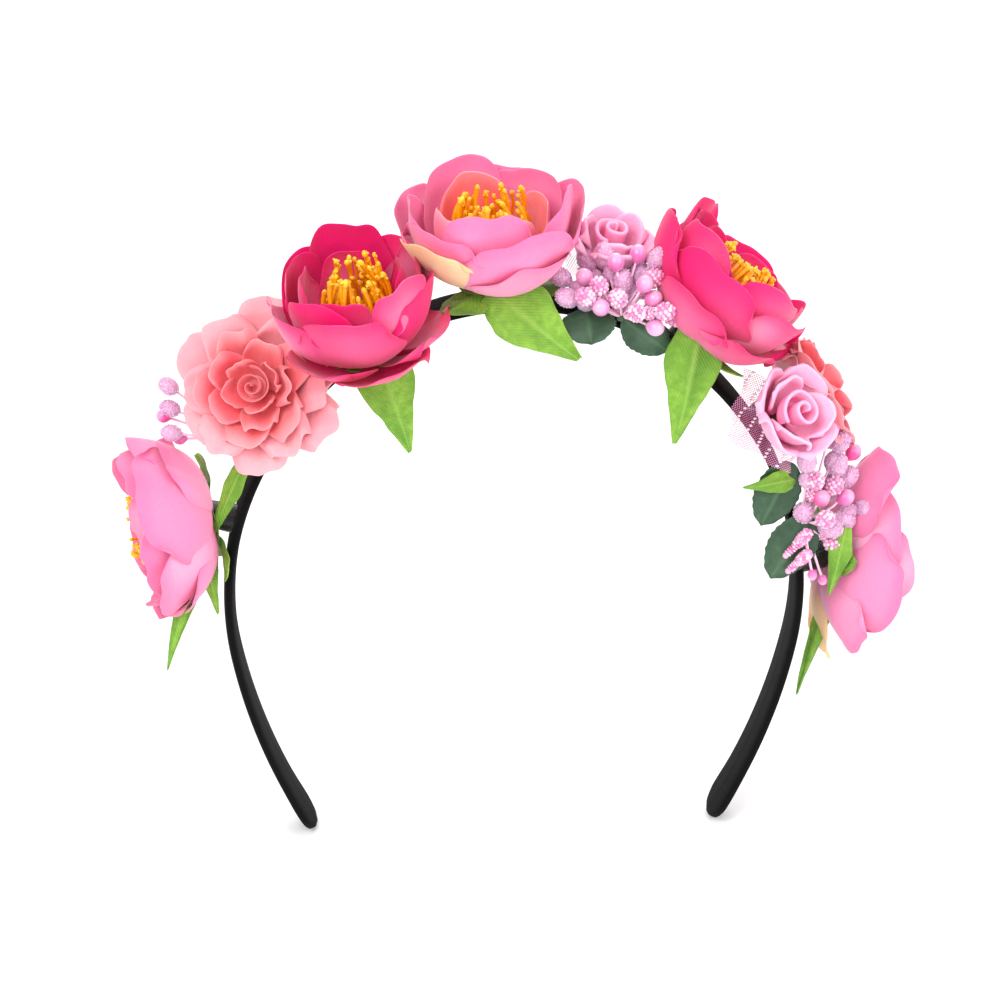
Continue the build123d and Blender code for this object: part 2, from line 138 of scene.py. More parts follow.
def dye(red, green, blue):
    """Linear colour of a dye given by its screen values from 0 to 255."""
    shares = (red / 255, green / 255, blue / 255)
    return (*(c / 12.92 if c <= 0.04045 else ((c + 0.055) / 1.055) ** 2.4 for c in shares), 1.0)


def add_object(name, mesh, *materials):
    thing = bpy.data.objects.new(name, mesh)
    scene.collection.objects.link(thing)
    for material in materials:
        mesh.materials.append(material)
    return thing


def attach(piece, slot, *nodes):
    """Fixes a piece to the crown and hides the CAD nodes that it stands for; its slot is not used."""
    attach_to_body(piece, "crown")
    if nodes:
        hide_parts(*nodes)


floor_mesh = bpy.data.meshes.new("floor")
bm = bmesh.new()
bmesh.ops.create_grid(bm, x_segments=1, y_segments=1, size=FLOOR_SIZE)
bmesh.ops.translate(bm, verts=bm.verts, vec=(0, 0, cad_box[0].z - FLOOR_GAP))
bm.to_mesh(floor_mesh)
bm.free()
paper, *_ = cloudy_material(
    "pale_paper", 30, (0.88, 0.88, 0.88, 1), (0.9, 0.9, 0.9, 1), Roughness=0.9, Specular_IOR_Level=0.1
)
add_object("floor", floor_mesh, paper)

world = bpy.data.worlds.new("white_room")
world.use_nodes = True
world.node_tree.nodes["Background"].inputs["Color"].default_value = (1, 1, 1, 1)
world.node_tree.nodes["Background"].inputs["Strength"].default_value = 0.85
scene.world = world
for lamp_name, place, size, power in (
    ("key_lamp", (-0.45, -0.75, 0.75), 0.7, 9.0),
    ("fill_lamp", (0.75, -0.55, 0.35), 0.8, 5.0),
    ("back_lamp", (0.1, 0.8, 0.6), 0.7, 5.0),
):
    lamp = bpy.data.lights.new(lamp_name, "AREA")
    lamp.size = size
    lamp.energy = power
    holder = bpy.data.objects.new(lamp_name, lamp)
    scene.collection.objects.link(holder)
    holder.location = place
    holder.rotation_euler = (AIM - Vector(place)).to_track_quat("-Z", "Y").to_euler()

back = Vector((sin(AZIMUTH) * cos(ELEVATION), -cos(AZIMUTH) * cos(ELEVATION), sin(ELEVATION)))
right = Vector((cos(AZIMUTH), sin(AZIMUTH), 0))
up = back.cross(right)
rolled_right = right * cos(ROLL) - up * sin(ROLL)
rolled_up = right * sin(ROLL) + up * cos(ROLL)
camera = bpy.data.objects.new("camera", bpy.data.cameras.new("camera"))
camera.data.lens = FOCAL_LENGTH
camera.data.sensor_width = SENSOR_WIDTH
camera.matrix_world = Matrix.Translation(AIM + back * DISTANCE) @ Matrix(
    (rolled_right, rolled_up, back)
).transposed().to_4x4()
scene.collection.objects.link(camera)
scene.camera = camera


# Band. A springy strip inside a tube of brushed black cloth, pulled on from both ends and closed
# round the two tips. Each half is one piece; their seam is under the top bloom.
ARC_RADII = (0.0612, 0.0812, 0.1579)
ARC_LENGTHS = (0.0412, 0.0871, 0.0534)
BAND_THICKNESS = 0.0026
BAND_WIDTH = 0.0125
TIP_STATION = sum(ARC_LENGTHS)
TIP_LENGTH = 0.0060
TIP_BULGE = 0.05
BEND_START = 0.1125
BEND_END = 0.1275
SLEEVE_STEPS = 150
SLEEVE_SIDES = 40
SLEEVE_SQUARENESS = 0.62
SLEEVE_THICKNESS = 0.0003
SEAM_HEIGHT = 0.00018
SEAM_HALF_WIDTH = 0.0006


def band_place(station, front=0.0, height=0.0):
    """Point at an arc length from the band's top, to the front, and above its outer face, and its heading."""
    left, turn = abs(station), 0.0
    x, z = 0.0, BAND_THICKNESS / 2
    for radius, length in zip(ARC_RADII, ARC_LENGTHS):
        step = min(left, length)
        x += radius * (sin(turn + step / radius) - sin(turn))
        z -= radius * (cos(turn) - cos(turn + step / radius))
        turn += step / radius
        left -= step
    side = 1 if station >= 0 else -1
    above = height + BAND_THICKNESS / 2
    return Vector((side * (x + above * sin(turn)), -front, z + above * cos(turn))), side * turn


def smooth(low, high, value):
    share = min(max((value - low) / (high - low), 0), 1)
    return share * share * (3 - 2 * share)


def signed_power(value, power):
    return abs(value) ** power * (1 if value >= 0 else -1)


def new_group(name, inputs, outputs):
    """Empty node group with its sockets, given as names and kinds, and its two end nodes."""
    group = bpy.data.node_groups.new(name, "ShaderNodeTree")
    for way, sockets in (("INPUT", inputs), ("OUTPUT", outputs)):
        for socket, kind in sockets.items():
            group.interface.new_socket(socket, in_out=way, socket_type=f"NodeSocket{kind}")
    return group, group.nodes.new("NodeGroupInput"), group.nodes.new("NodeGroupOutput")


def cloth_group(name, threads):
    """Node group of a cloth's surface: crossing threads and loose fibres, as a height and a shade."""
    group, inside, outside = new_group(
        name, {"Vector": "Vector", "Thread Scale": "Float", "Fibre Scale": "Float"},
        {"Height": "Float", "Shade": "Float"},
    )
    vector, thread_scale = inside.outputs["Vector"], inside.outputs["Thread Scale"]
    fibres = add_node(group, "TexNoise", Detail=5, Vector=vector, Scale=inside.outputs["Fibre Scale"])
    height = fibres.outputs["Fac"]
    for direction in threads:
        wave = add_node(group, "TexWave", Distortion=0.6, Detail_Scale=0.5, Vector=vector, Scale=thread_scale)
        wave.bands_direction = direction
        height = reckon(group, "ADD", height, wave.outputs["Fac"])
    group.links.new(height, outside.inputs["Height"])
    group.links.new(fibres.outputs["Fac"], outside.inputs["Shade"])
    return group


def lay_cloth(tree, shader, group, vector, thread_scale, fibre_scale, depth):
    """Puts a cloth group into a material: its height as a bump and its shade as an output to use."""
    cloth = tree.nodes.new("ShaderNodeGroup")
    cloth.node_tree = group
    cloth.inputs["Thread Scale"].default_value = thread_scale
    cloth.inputs["Fibre Scale"].default_value = fibre_scale
    tree.links.new(vector, cloth.inputs["Vector"])
    bump = add_node(tree, "Bump", Distance=depth, Strength=0.6, Height=cloth.outputs["Height"])
    tree.links.new(bump.outputs["Normal"], shader.inputs["Normal"])
    return cloth.outputs["Shade"]


def cloth_uv_of(tree):
    """Output that gives a cloth's own flat coordinates, in millimetres."""
    flat = tree.nodes.new("ShaderNodeUVMap")
    flat.uv_map = "cloth"
    return flat.outputs["UV"]


crossed_threads = cloth_group("crossed_threads", ("X", "Y"))
nap, tree, shader = new_material(
    "brushed_black_cloth", Roughness=0.95, Specular_IOR_Level=0.1, Sheen_Weight=0.03, Sheen_Roughness=0.5
)
shade = lay_cloth(tree, shader, crossed_threads, cloth_uv_of(tree), 0.55, 1.6, 0.00008)
tree.links.new(shade_between(tree, shade, dye(5, 4, 5), dye(17, 15, 16)), shader.inputs["Base Color"])

for side, arm in ((-1, "left_arm"), (1, "right_arm")):
    bm = bmesh.new()
    bmesh.ops.create_grid(bm, x_segments=SLEEVE_STEPS, y_segments=SLEEVE_SIDES, size=1)
    cloth_uv = bm.loops.layers.uv.new("cloth")
    places = {}
    for vert in bm.verts:
        places[vert] = ((vert.co.x + 1) / 2, (vert.co.y + 1) / 2)
    for face in bm.faces:
        for loop in face.loops:
            along, round_it = places[loop.vert]
            loop[cloth_uv].uv = (along * TIP_STATION * 1000, round_it * 2 * BAND_WIDTH * 1000)
    for vert, (along, round_it) in places.items():
        station = TIP_STATION * sin(along * pi / 2) ** 0.9
        angle = 2 * pi * round_it - pi / 2
        past = max(0, station - (TIP_STATION - TIP_LENGTH)) / TIP_LENGTH
        end = sqrt(max(0, 1 - min(past, 1) ** 2))
        bulge = 1 + TIP_BULGE * exp(-(((TIP_STATION - 0.007 - station) / 0.005) ** 2))
        front = BAND_WIDTH / 2 * end * bulge * signed_power(cos(angle), SLEEVE_SQUARENESS)
        thick = BAND_THICKNESS / 2 * min(1, 0.25 + 1.1 * end) * bulge
        height = thick * signed_power(sin(angle), SLEEVE_SQUARENESS) * (1 if end else 0)
        if sin(angle) < 0:
            height -= SEAM_HEIGHT * exp(-((front / SEAM_HALF_WIDTH) ** 2))
        vert.co = band_place(side * station, front, height - BAND_THICKNESS / 2)[0]
    bmesh.ops.remove_doubles(bm, verts=bm.verts, dist=0.00001)
    bmesh.ops.recalc_face_normals(bm, faces=bm.faces)
    for face in bm.faces:
        face.smooth = True
    mesh = bpy.data.meshes.new(f"band_cloth_{arm}")
    bm.to_mesh(mesh)
    bm.free()
    sleeve = add_object(f"band_cloth_{arm}", mesh, nap)
    wall = sleeve.modifiers.new("thickness", "SOLIDIFY")
    wall.thickness = SLEEVE_THICKNESS
    wall.offset = -1
    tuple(band_place(side * BEND_START)[0])
    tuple(band_place(side * BEND_END)[0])
    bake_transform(sleeve)
    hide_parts("band_sleeve", f"band_sleeve_{arm}")

# Spring core, pegs and glue. The strip of springy plastic inside the cloth, the pegs that the blooms
# are threaded on, and the blobs of hot glue that hold the blooms to the band.
plastic, *_ = cloudy_material("black_spring_plastic", 900, dye(16, 16, 17), dye(30, 30, 32), Roughness=0.4)
peg_plastic, *_ = cloudy_material("green_peg_plastic", 700, dye(70, 96, 52), dye(96, 124, 66), Roughness=0.45)
# The glue is real, but its near-black colour is painted shade between the blooms and the band.
glue, tree, shader, lumps = cloudy_material(
    "hot_glue_darkened_as_painted_shade", 420, dye(12, 11, 12), dye(30, 28, 28),
    Roughness=0.22, Coat_Weight=0.4, Coat_Roughness=0.12,
)
bump = add_node(tree, "Bump", Distance=0.0006, Height=lumps.outputs["Fac"])
tree.links.new(bump.outputs["Normal"], shader.inputs["Normal"])
for node, finish in (
    ("band_core", plastic), ("band_core_left_arm", plastic), ("band_core_right_arm", plastic),
    ("bloom_pegs", peg_plastic), ("glue_pads", glue),
):
    cad_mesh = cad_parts[node].data
    cad_mesh.materials.clear()
    cad_mesh.materials.append(finish)


# Peonies. Three layers of dyed satin on each peg, cut as flowers and pressed hot into bowls, so that
# each layer is one piece. The dye runs from deep to pale over a petal, and is deeper again at its edge.
PEG_ROOT = -0.6
MM = 0.001
PETAL_ACROSS = 16
PETAL_ALONG = 14
PETAL_THICKNESS = 0.00022
BAND_SKIN = 0.0006
PETAL_FOOT = 1.6
OPEN_PETAL_FOOT = (PETAL_FOOT, 1.1)
OPEN_PETAL_CUP = 0.6


def node_points(node):
    """Corner points of a CAD node, as an array."""
    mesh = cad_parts[node].data
    points = np.zeros(len(mesh.vertices) * 3)
    mesh.vertices.foreach_get("co", points)
    return points.reshape(-1, 3)


def solid_parts(node):
    """Corner points of each separate solid of a CAD node."""
    points, welded = np.unique(node_points(node).round(6), axis=0, return_inverse=True)
    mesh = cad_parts[node].data
    ends = np.zeros(len(mesh.edges) * 2, int)
    mesh.edges.foreach_get("vertices", ends)
    ends = welded.reshape(-1)[ends].reshape(-1, 2)
    owner, before = np.arange(len(points)), None
    while before is None or (owner != before).any():
        before = owner.copy()
        lowest = owner[ends].min(1)
        np.minimum.at(owner, ends[:, 0], lowest)
        np.minimum.at(owner, ends[:, 1], lowest)
        owner = owner[owner]
    return [points[owner == part] for part in np.unique(owner)]


def seat_on(pin):
    """Place of a bloom from its peg: its axis is Z, X runs along the band, and a unit is a millimetre."""
    middle = pin.mean(0)
    axis = np.linalg.eigh(np.cov((pin - middle).T))[1][:, 2]
    if axis @ (middle - np.array((0, 0, -0.08))) < 0:
        axis = -axis
    z = Vector(axis)
    x = Vector((0, 1, 0)).cross(z).normalized()
    y = z.cross(x)
    root = Vector(middle) + z * (float(((pin - middle) @ axis).min()) - PEG_ROOT * MM)
    return Matrix.Translation(root) @ Matrix((x, y, z)).transposed().to_4x4() @ Matrix.Scale(MM, 4)


pegs = [seat_on(pin) for pin in solid_parts("bloom_pegs")]


def seat_of(node):
    """Seat of the bloom that a CAD node belongs to: the one on the nearest peg."""
    low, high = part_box(node)
    return min(pegs, key=lambda peg: (peg @ Vector((0, 0, 8)) - (low + high) / 2).length)


def reach_of(seat, node):
    """Radius and height of a cup about its seat, in millimetres."""
    into = np.array(seat.inverted())
    points = node_points(node) @ into[:3, :3].T + into[:3, 3]
    return float(np.hypot(points[:, 0], points[:, 1]).max()), float(points[:, 2].max())


band_line = [band_place(s * MM) for s in range(-180, 181, 2)]
band_points = np.array([place for place, _ in band_line])


def off_the_band(point):
    """Point moved off the band's outer face where a petal would cut into it."""
    if abs(point.y) > BAND_WIDTH / 2 + BAND_SKIN:
        return point
    place, heading = band_line[int(((band_points - point) ** 2).sum(1).argmin())]
    normal = Vector((sin(heading), 0, cos(heading)))
    height = (point - place).dot(normal)
    if -0.02 < height < BAND_SKIN:
        return point + normal * (BAND_SKIN - height)
    return point


def new_cloth():
    """Empty bmesh with a cloth's own layers: its flat coordinates and the colours of its two sides."""
    bm = bmesh.new()
    bm.loops.layers.uv.new("cloth")
    bm.verts.layers.float_color.new("dye")
    bm.verts.layers.float_color.new("lining")
    return bm


def mixed(one, other, share):
    return tuple(a + (b - a) * share for a, b in zip(one, other))


Dyes = namedtuple("Dyes", "foot main pale edge lining")


def spread_out(bm, flat):
    """Gives the faces round some vertices a cloth's flat coordinates, and smooths them."""
    uv = bm.loops.layers.uv["cloth"]
    for face in {face for vert in flat for face in vert.link_faces}:
        face.smooth = True
        for loop in face.loops:
            loop[uv].uv = flat[loop.vert]


def petal(bm, seat, turn, foot, rim, width, bow, cup, dyes, rng, curl=0.8, ruffle=0.8):
    """Adds a pressed petal from its foot to its rim, both given as (distance from the axis, height)."""
    face_dye, back_dye = bm.verts.layers.float_color["dye"], bm.verts.layers.float_color["lining"]
    across, rise = rim[0] - foot[0], rim[1] - foot[1]
    slope, bend = atan2(rise, across), radians(bow)
    length = hypot(across, rise) * (bend / 2) / sin(bend / 2)
    radius = length / bend
    start = slope - bend / 2
    waves, phase, lean = rng.uniform(1.3, 2.4), rng.uniform(0, 2 * pi), rng.uniform(-0.5, 0.5)
    patch, patch_side, paleness = rng.uniform(0.35, 0.85), rng.uniform(-1, 1), 1.2 * rng.random() ** 2.4
    drop, lobe = rng.uniform(0.18, 0.28), rng.uniform(-0.4, 0.4)
    seed = Vector((rng.uniform(0, 50), rng.uniform(0, 50), rng.uniform(0, 50)))
    spin = Matrix.Rotation(radians(turn), 4, "Z")
    grid = bmesh.ops.create_grid(bm, x_segments=PETAL_ACROSS, y_segments=PETAL_ALONG, size=1)["verts"]
    flat = {}
    for vert in grid:
        u, t = vert.co.x, (vert.co.y + 1) / 2
        nick = 0.04 * exp(-(((u - lobe) / 0.16) ** 2)) + 0.02 * noise.noise(seed + Vector((u * 5, 0, 0)))
        tip = 1 - drop * abs(u) ** 3 - nick
        s = t * tip
        angle = start + bend * s
        r = foot[0] + radius * (sin(angle) - sin(start))
        z = foot[1] + radius * (cos(start) - cos(angle))
        half = width / 2 * (0.26 + 0.74 * sin(min(s / 0.62, 1) * pi / 2)) * (1 - 0.3 * abs(u) ** 3 * t ** 5)
        swing = half * u / cup
        inward = cup * (1 - cos(swing)) + 0.5 * lean * u
        inward += ruffle * smooth(0.4, 1, t) * sin(waves * pi * u + phase) * (0.35 + 0.65 * abs(u))
        inward += 1.3 * t * noise.noise(seed + Vector((u * 1.4, t * 1.6, 0)))
        inward += 0.35 * smooth(0.15, 0.8, t) * noise.noise(seed + Vector((u * 4.5, t * 1.3, 7)))
        inward -= curl * (smooth(0.76, 1, t) ** 2 + 0.7 * smooth(0.72, 1, abs(u)) ** 2 * smooth(0.35, 0.8, t))
        local = Vector((r - sin(angle) * inward, cup * sin(swing), z + cos(angle) * inward))
        vert.co = off_the_band(seat @ (spin @ local))
        flat[vert] = (half * u, s * length)
        pale = paleness * exp(-(((t - patch) / 0.36) ** 2) - ((u - patch_side) / 0.7) ** 2)
        pale *= 0.8 + 0.4 * noise.noise(seed + Vector((u * 2, t * 2, 5)))
        pale = min(max(pale, 0), 1)
        colour = mixed(dyes.main, dyes.pale, pale)
        colour = mixed(colour, dyes.foot, 0.85 * (1 - smooth(0.05, 0.5, t)))
        near_edge = max(smooth(0.82, 1.0, t), smooth(0.8, 1.0, abs(u)) * smooth(0.2, 0.5, t))
        vert[face_dye] = mixed(colour, dyes.edge, 0.6 * near_edge * (1 - 0.7 * pale))
        colour = mixed(dyes.lining, dyes.foot, 0.5 * (1 - smooth(0, 0.5, t)))
        vert[back_dye] = mixed(mixed(colour, dyes.pale, 0.5 * pale), dyes.edge, 0.5 * near_edge)
    spread_out(bm, flat)


def pressed_cloth(name, side):
    """Material of one side of a petal, coloured by the dye that its cloth holds."""
    material, tree, shader = new_material(
        name, Roughness=0.58, Specular_IOR_Level=0.3, Sheen_Weight=0.25, Sheen_Roughness=0.45,
        Subsurface_Weight=0.22, Subsurface_Scale=0.0022, Subsurface_Radius=(1.0, 0.45, 0.45),
    )
    shade = lay_cloth(tree, shader, crossed_threads, cloth_uv_of(tree), 0.95, 1.2, 0.00003)
    colour = tree.nodes.new("ShaderNodeAttribute")
    colour.attribute_name = side
    darker = shade_between(tree, shade, colour.outputs["Color"], (0.86, 0.8, 0.84, 1), "MULTIPLY")
    tree.links.new(darker, shader.inputs["Base Color"])
    return material


petal_face = pressed_cloth("petal_cloth_outside", "dye")
petal_back = pressed_cloth("petal_cloth_inside", "lining")


def finish_cloth(name, bm, thickness, face, back):
    """Object of a layer of cloth, with its thickness, its outside one material and its inside another."""
    bmesh.ops.recalc_face_normals(bm, faces=bm.faces)
    mesh = bpy.data.meshes.new(name)
    bm.to_mesh(mesh)
    bm.free()
    cloth = add_object(name, mesh, face, back)
    wall = cloth.modifiers.new("thickness", "SOLIDIFY")
    wall.thickness = thickness
    wall.offset = 0
    wall.material_offset = 1
    wall.use_quality_normals = True
    round_off = cloth.modifiers.new("smooth", "SUBSURF")
    round_off.levels = round_off.render_levels = 1
    return cloth


LIGHT_PINK = Dyes(
    dye(248, 92, 146), dye(255, 138, 184), dye(255, 214, 230), dye(246, 98, 154), dye(255, 138, 182)
)
HOT_PINK = Dyes(dye(204, 0, 86), dye(240, 0, 112), dye(255, 196, 224), dye(222, 0, 96), dye(234, 12, 110))
CREAM = LIGHT_PINK._replace(
    main=dye(255, 204, 158), pale=dye(255, 226, 150), edge=dye(252, 206, 140), lining=dye(255, 206, 160)
)
CORAL_HEART = LIGHT_PINK._replace(main=dye(255, 140, 165), lining=dye(255, 112, 112), edge=dye(255, 175, 185))

# Rings of petals: how many, first turn, foot, rim and its height as shares of the bloom's radius and
# height, width as a share of the radius, bow in degrees, and cup as a share of the radius
Ring = namedtuple("Ring", "petals turn foot rim height width bow cup curl ruffle")
PEONY_RINGS = {
    "outer_petals": Ring(5, 0, 1.3, 0.96, 0.86, 1.6, 104, 0.86, 0.7, 1.0),
    "middle_petals": Ring(5, 36, 2.6, 0.80, 1.02, 1.34, 112, 0.72, 0.3, 0.9),
    "inner_petals": Ring(4, 10, 3.9, 0.55, 0.92, 1.05, 104, 0.56, 0.4, 0.6),
}
# Some outer petals lie open, low and wide: (turn, distance and height of the rim, width, bow, dyes)
Peony = namedtuple("Peony", "seed turn size dyes heart open_petals")
PEONIES = {
    "left_low_peony": Peony(3, 20, 0.96, LIGHT_PINK, LIGHT_PINK, (
        (-150, 21, 12, 27, 84, LIGHT_PINK), (-15, 22, 11, 25, 84, LIGHT_PINK), (22, 18, 19, 16, 80, CREAM))),
    "left_peony": Peony(7, -20, 0.97, HOT_PINK, HOT_PINK, (
        (-128, 20, 9, 28, 88, HOT_PINK), (-74, 20.5, 7, 30, 92, HOT_PINK), (-20, 21, 11, 27, 84, HOT_PINK))),
    "top_peony": Peony(11, 10, 0.98, LIGHT_PINK, CORAL_HEART, (
        (-60, 21, 13, 31, 84, LIGHT_PINK), (-138, 22.5, 19, 28, 80, CREAM))),
    "right_peony": Peony(15, 30, 0.97, HOT_PINK, HOT_PINK, (
        (-60, 21, 10, 30, 88, HOT_PINK), (-118, 21, 11, 30, 88, HOT_PINK), (25, 23, 13, 28, 80, HOT_PINK),
        (178, 20, 19, 27, 84, HOT_PINK), (140, 17, 26, 24, 84, HOT_PINK))),
    "right_low_peony": Peony(19, 0, 0.86, LIGHT_PINK, LIGHT_PINK, (
        (-168, 29, 11, 23, 62, LIGHT_PINK), (-35, 24, 7, 24, 70, LIGHT_PINK), (8, 31, 9, 13, 50, CREAM))),
}
SLOT_OF = {HOT_PINK: "hot_pink_petal_cloth", LIGHT_PINK: "light_pink_petal_cloth"}
seats = {}
for bloom, peony in PEONIES.items():
    seat = seats[bloom] = seat_of(f"{bloom}_stamens")
    radius, _ = reach_of(seat, f"{bloom}_outer_petals")
    _, height = reach_of(seat, f"{bloom}_middle_petals")
    radius, height = radius * peony.size, height * peony.size
    rng = Random(peony.seed)
    for layer, ring in PEONY_RINGS.items():
        bm = new_cloth()
        dyes = peony.heart if layer == "inner_petals" else peony.dyes
        for i in range(ring.petals):
            turn = peony.turn + ring.turn + 360 / ring.petals * (i + rng.uniform(-0.12, 0.12))
            rim = (ring.rim * radius * rng.uniform(0.9, 1.04), ring.height * height * rng.uniform(0.88, 1.04))
            petal(
                bm, seat, turn, (PETAL_FOOT, ring.foot + 0.25 * (i % 2)), rim, ring.width * radius, ring.bow,
                ring.cup * radius, dyes, rng, ring.curl, ring.ruffle,
            )
        for turn, out, rim_height, width, bow, dyes in peony.open_petals if layer == "outer_petals" else ():
            petal(
                bm, seat, turn, OPEN_PETAL_FOOT, (out, rim_height), width, bow, width * OPEN_PETAL_CUP, dyes,
                rng, 0.9, 1.1,
            )
        cloth = finish_cloth(f"{bloom}_{layer}_cloth", bm, PETAL_THICKNESS, petal_face, petal_back)
        attach(cloth, SLOT_OF[peony.dyes], f"{bloom}_{layer}")

# Stamens. A brush of waxed yellow threads stands on each peony's peg: orange where they are bound, and
# dipped in pale grains at their tips. The outer threads are long and bow inwards, the middle ones are short.
LONG_STAMENS = 64
SHORT_STAMENS = 22
STAMEN_RADIUS = 0.42
STAMEN_FOOT = 5.1
ORANGE, YELLOW, POLLEN = dye(245, 122, 0), dye(255, 172, 0), dye(255, 206, 50)


def dyed_material(name, texture, scale, depth, **settings):
    """Material coloured by the dye that its mesh holds, with the fine grain of a texture raised on it."""
    material, tree, shader = new_material(name, **settings)
    colour = tree.nodes.new("ShaderNodeAttribute")
    colour.attribute_name = "dye"
    grain = add_node(tree, texture, Scale=scale, Vector=add_node(tree, "TexCoord").outputs["Object"])
    bump = add_node(tree, "Bump", Distance=depth, Height=grain.outputs[0])
    tree.links.new(bump.outputs["Normal"], shader.inputs["Normal"])
    tree.links.new(colour.outputs["Color"], shader.inputs["Base Color"])
    return material


stamen_wax = dyed_material(
    "waxed_stamens", "TexNoise", 2500, 0.0002, Roughness=0.38, Subsurface_Weight=0.2, Subsurface_Scale=0.001,
    Subsurface_Radius=(1.0, 0.6, 0.1),
)


def strands(lines):
    """Mesh of round threads, each a smooth line through its points with a radius at each point."""
    curve = bpy.data.curves.new("threads", "CURVE")
    curve.dimensions = "3D"
    curve.bevel_depth = 1
    curve.bevel_resolution = 1
    curve.resolution_u = 3
    curve.use_fill_caps = True
    for points, radii in lines:
        spline = curve.splines.new("NURBS")
        spline.points.add(len(points) - 1)
        for spot, place, radius in zip(spline.points, points, radii):
            spot.co = (*place, 1)
            spot.radius = radius
        spline.order_u = 3
        spline.use_endpoint_u = True
    shape = bpy.data.objects.new("threads", curve)
    mesh = bpy.data.meshes.new_from_object(shape)
    bpy.data.objects.remove(shape)
    return mesh


def add_bead(bm, place, size, sides=8, rings=6, layer=None, colour=None, along=None, stretch=1.0):
    """Adds a round bead of a radius, drawn out along a direction if it is given one."""
    place_it = Matrix.Translation(place)
    if along is not None:
        place_it = place_it @ Vector(along).to_track_quat("Z", "Y").to_matrix().to_4x4()
    place_it = place_it @ Matrix.Diagonal((1, 1, stretch, 1))
    verts = bmesh.ops.create_uvsphere(
        bm, u_segments=sides, v_segments=rings, radius=size, matrix=place_it
    )["verts"]
    if layer is not None:
        for vert in verts:
            vert[layer] = colour
    return verts


def pour(bm, whole):
    """Moves a small bmesh's shapes into a larger one."""
    mesh = bpy.data.meshes.new("poured")
    bm.to_mesh(mesh)
    bm.free()
    whole.from_mesh(mesh)
    bpy.data.meshes.remove(mesh)


def new_beads():
    bm = bmesh.new()
    return bm, bm.verts.layers.float_color.new("dye")


def to_object(name, bm, *materials):
    """Smooth-shaded object from a finished bmesh."""
    for face in bm.faces:
        face.smooth = True
    mesh = bpy.data.meshes.new(name)
    bm.to_mesh(mesh)
    bm.free()
    return add_object(name, mesh, *materials)


for bloom, peony in PEONIES.items():
    seat = seats[bloom]
    into = seat.inverted()
    radius, _ = reach_of(seat, f"{bloom}_outer_petals")
    _, height = reach_of(seat, f"{bloom}_middle_petals")
    rng = Random(peony.seed + 100)
    lines, heads = [], []
    for i in range(LONG_STAMENS + SHORT_STAMENS):
        long = i < LONG_STAMENS
        around = rng.uniform(0, 2 * pi)
        foot_r = rng.uniform(0.4, 1.8)
        top_r = radius * (rng.uniform(0.24, 0.44) if long else rng.uniform(0.02, 0.2))
        top = height * (rng.uniform(0.62, 0.92) if long else rng.uniform(0.42, 0.55))
        hook = rng.uniform(0.0, 2.8) if long else 0.4
        sway = rng.uniform(-0.25, 0.25)
        route = (
            (foot_r, STAMEN_FOOT, 0), (top_r * 0.75, STAMEN_FOOT + (top - STAMEN_FOOT) * 0.35, 0.3 * sway),
            (top_r * 1.05, STAMEN_FOOT + (top - STAMEN_FOOT) * 0.75, sway), (top_r - hook, top, 1.4 * sway),
        )
        points = [seat @ Vector((r * cos(around + s), r * sin(around + s), z)) for r, z, s in route]
        size = STAMEN_RADIUS * rng.uniform(0.8, 1.25) * MM
        lines.append((points, (size * 0.8, size, size, size * 1.2)))
        heads.append((points[-1], (points[-1] - points[-2]).normalized(), size * rng.uniform(1.25, 1.6)))
    bm = bmesh.new()
    bm.from_mesh(strands(lines))
    colours = bm.verts.layers.float_color.new("dye")
    for vert in bm.verts:
        up_it = smooth(STAMEN_FOOT, height * 0.62, (into @ vert.co).z)
        vert[colours] = mixed(ORANGE, YELLOW, up_it)
    for place, along, size in heads:
        tip = mixed(YELLOW, POLLEN, rng.random())
        head, dyes = new_beads()
        add_bead(head, place, size, 7, 5, dyes, tip, along, 1.5)
        for _ in range(3):
            nudge = Vector((rng.uniform(-1, 1), rng.uniform(-1, 1), rng.uniform(-1, 1))) * size
            add_bead(head, place + nudge, size * 0.5, 5, 4, dyes, mixed(tip, POLLEN, 0.6))
        pour(head, bm)
    stamens = to_object(f"{bloom}_stamen_threads", bm, stamen_wax)
    attach(stamens, "yellow_stamens", f"{bloom}_stamens")


# Sepals. Under each peony lies a green star cut from ribbed cloth and threaded on the peg. Its short points
# hug the petals, and the long ones hang down in front of the band or behind it, curled and a little frayed.
LEAF_ACROSS = 10
LEAF_ALONG = 30
SEPAL_THICKNESS = 0.00025
STAR_RADIUS = 8.6
BLADE_ROOT = 5
# Short points, from the bloom's axis: (turn, length, width)
SHORT_SEPALS = {
    "left_low_peony": ((-150, 11, 9), (60, 13, 9), (150, 11, 9)),
    "left_peony": ((170, 12, 10), (95, 12, 10)),
    "top_peony": ((-130, 14, 11), (-10, 13, 11), (80, 12, 11)),
    "right_peony": ((-30, 12, 10), (60, 12, 10)),
    "right_low_peony": ((130, 12, 10), (-110, 11, 9)),
}
# Long points, from root to tip in millimetres, with their width, arch and twist
LONG_SEPALS = {
    "left_low_peony": (
        ((-63, -7, -34), (-74.5, -9, -57), 5, -2, 30), ((-75, -8, -52), (-71, -10, -74.5), 6.5, -2, -10),
        ((-76, -6, -62), (-83.5, -8, -90), 5, 2, 30),
    ),
    "left_peony": (((-33.5, -10, -4), (-25.5, -12.5, -31.2), 14, 2.5, -8),),
    "top_peony": (((-6.5, -8.6, 7.5), (13.5, -15, -7.6), 16, 2.5, 10),),
    "right_peony": (((42, -10, 0), (36.2, -12, -30.6), 14, 2.5, -8),),
    "right_low_peony": (
        ((78.5, -8, -56), (75, -9, -73.3), 6, 2, 0), ((79.5, 9, -76), (72.7, 10, -111), 4.5, 5, 25),
        ((80, 9.5, -70), (75, 11, -89), 8, 2, 10), ((67, -7, -43), (53.1, -9, -44.2), 6, 2, 0),
    ),
}


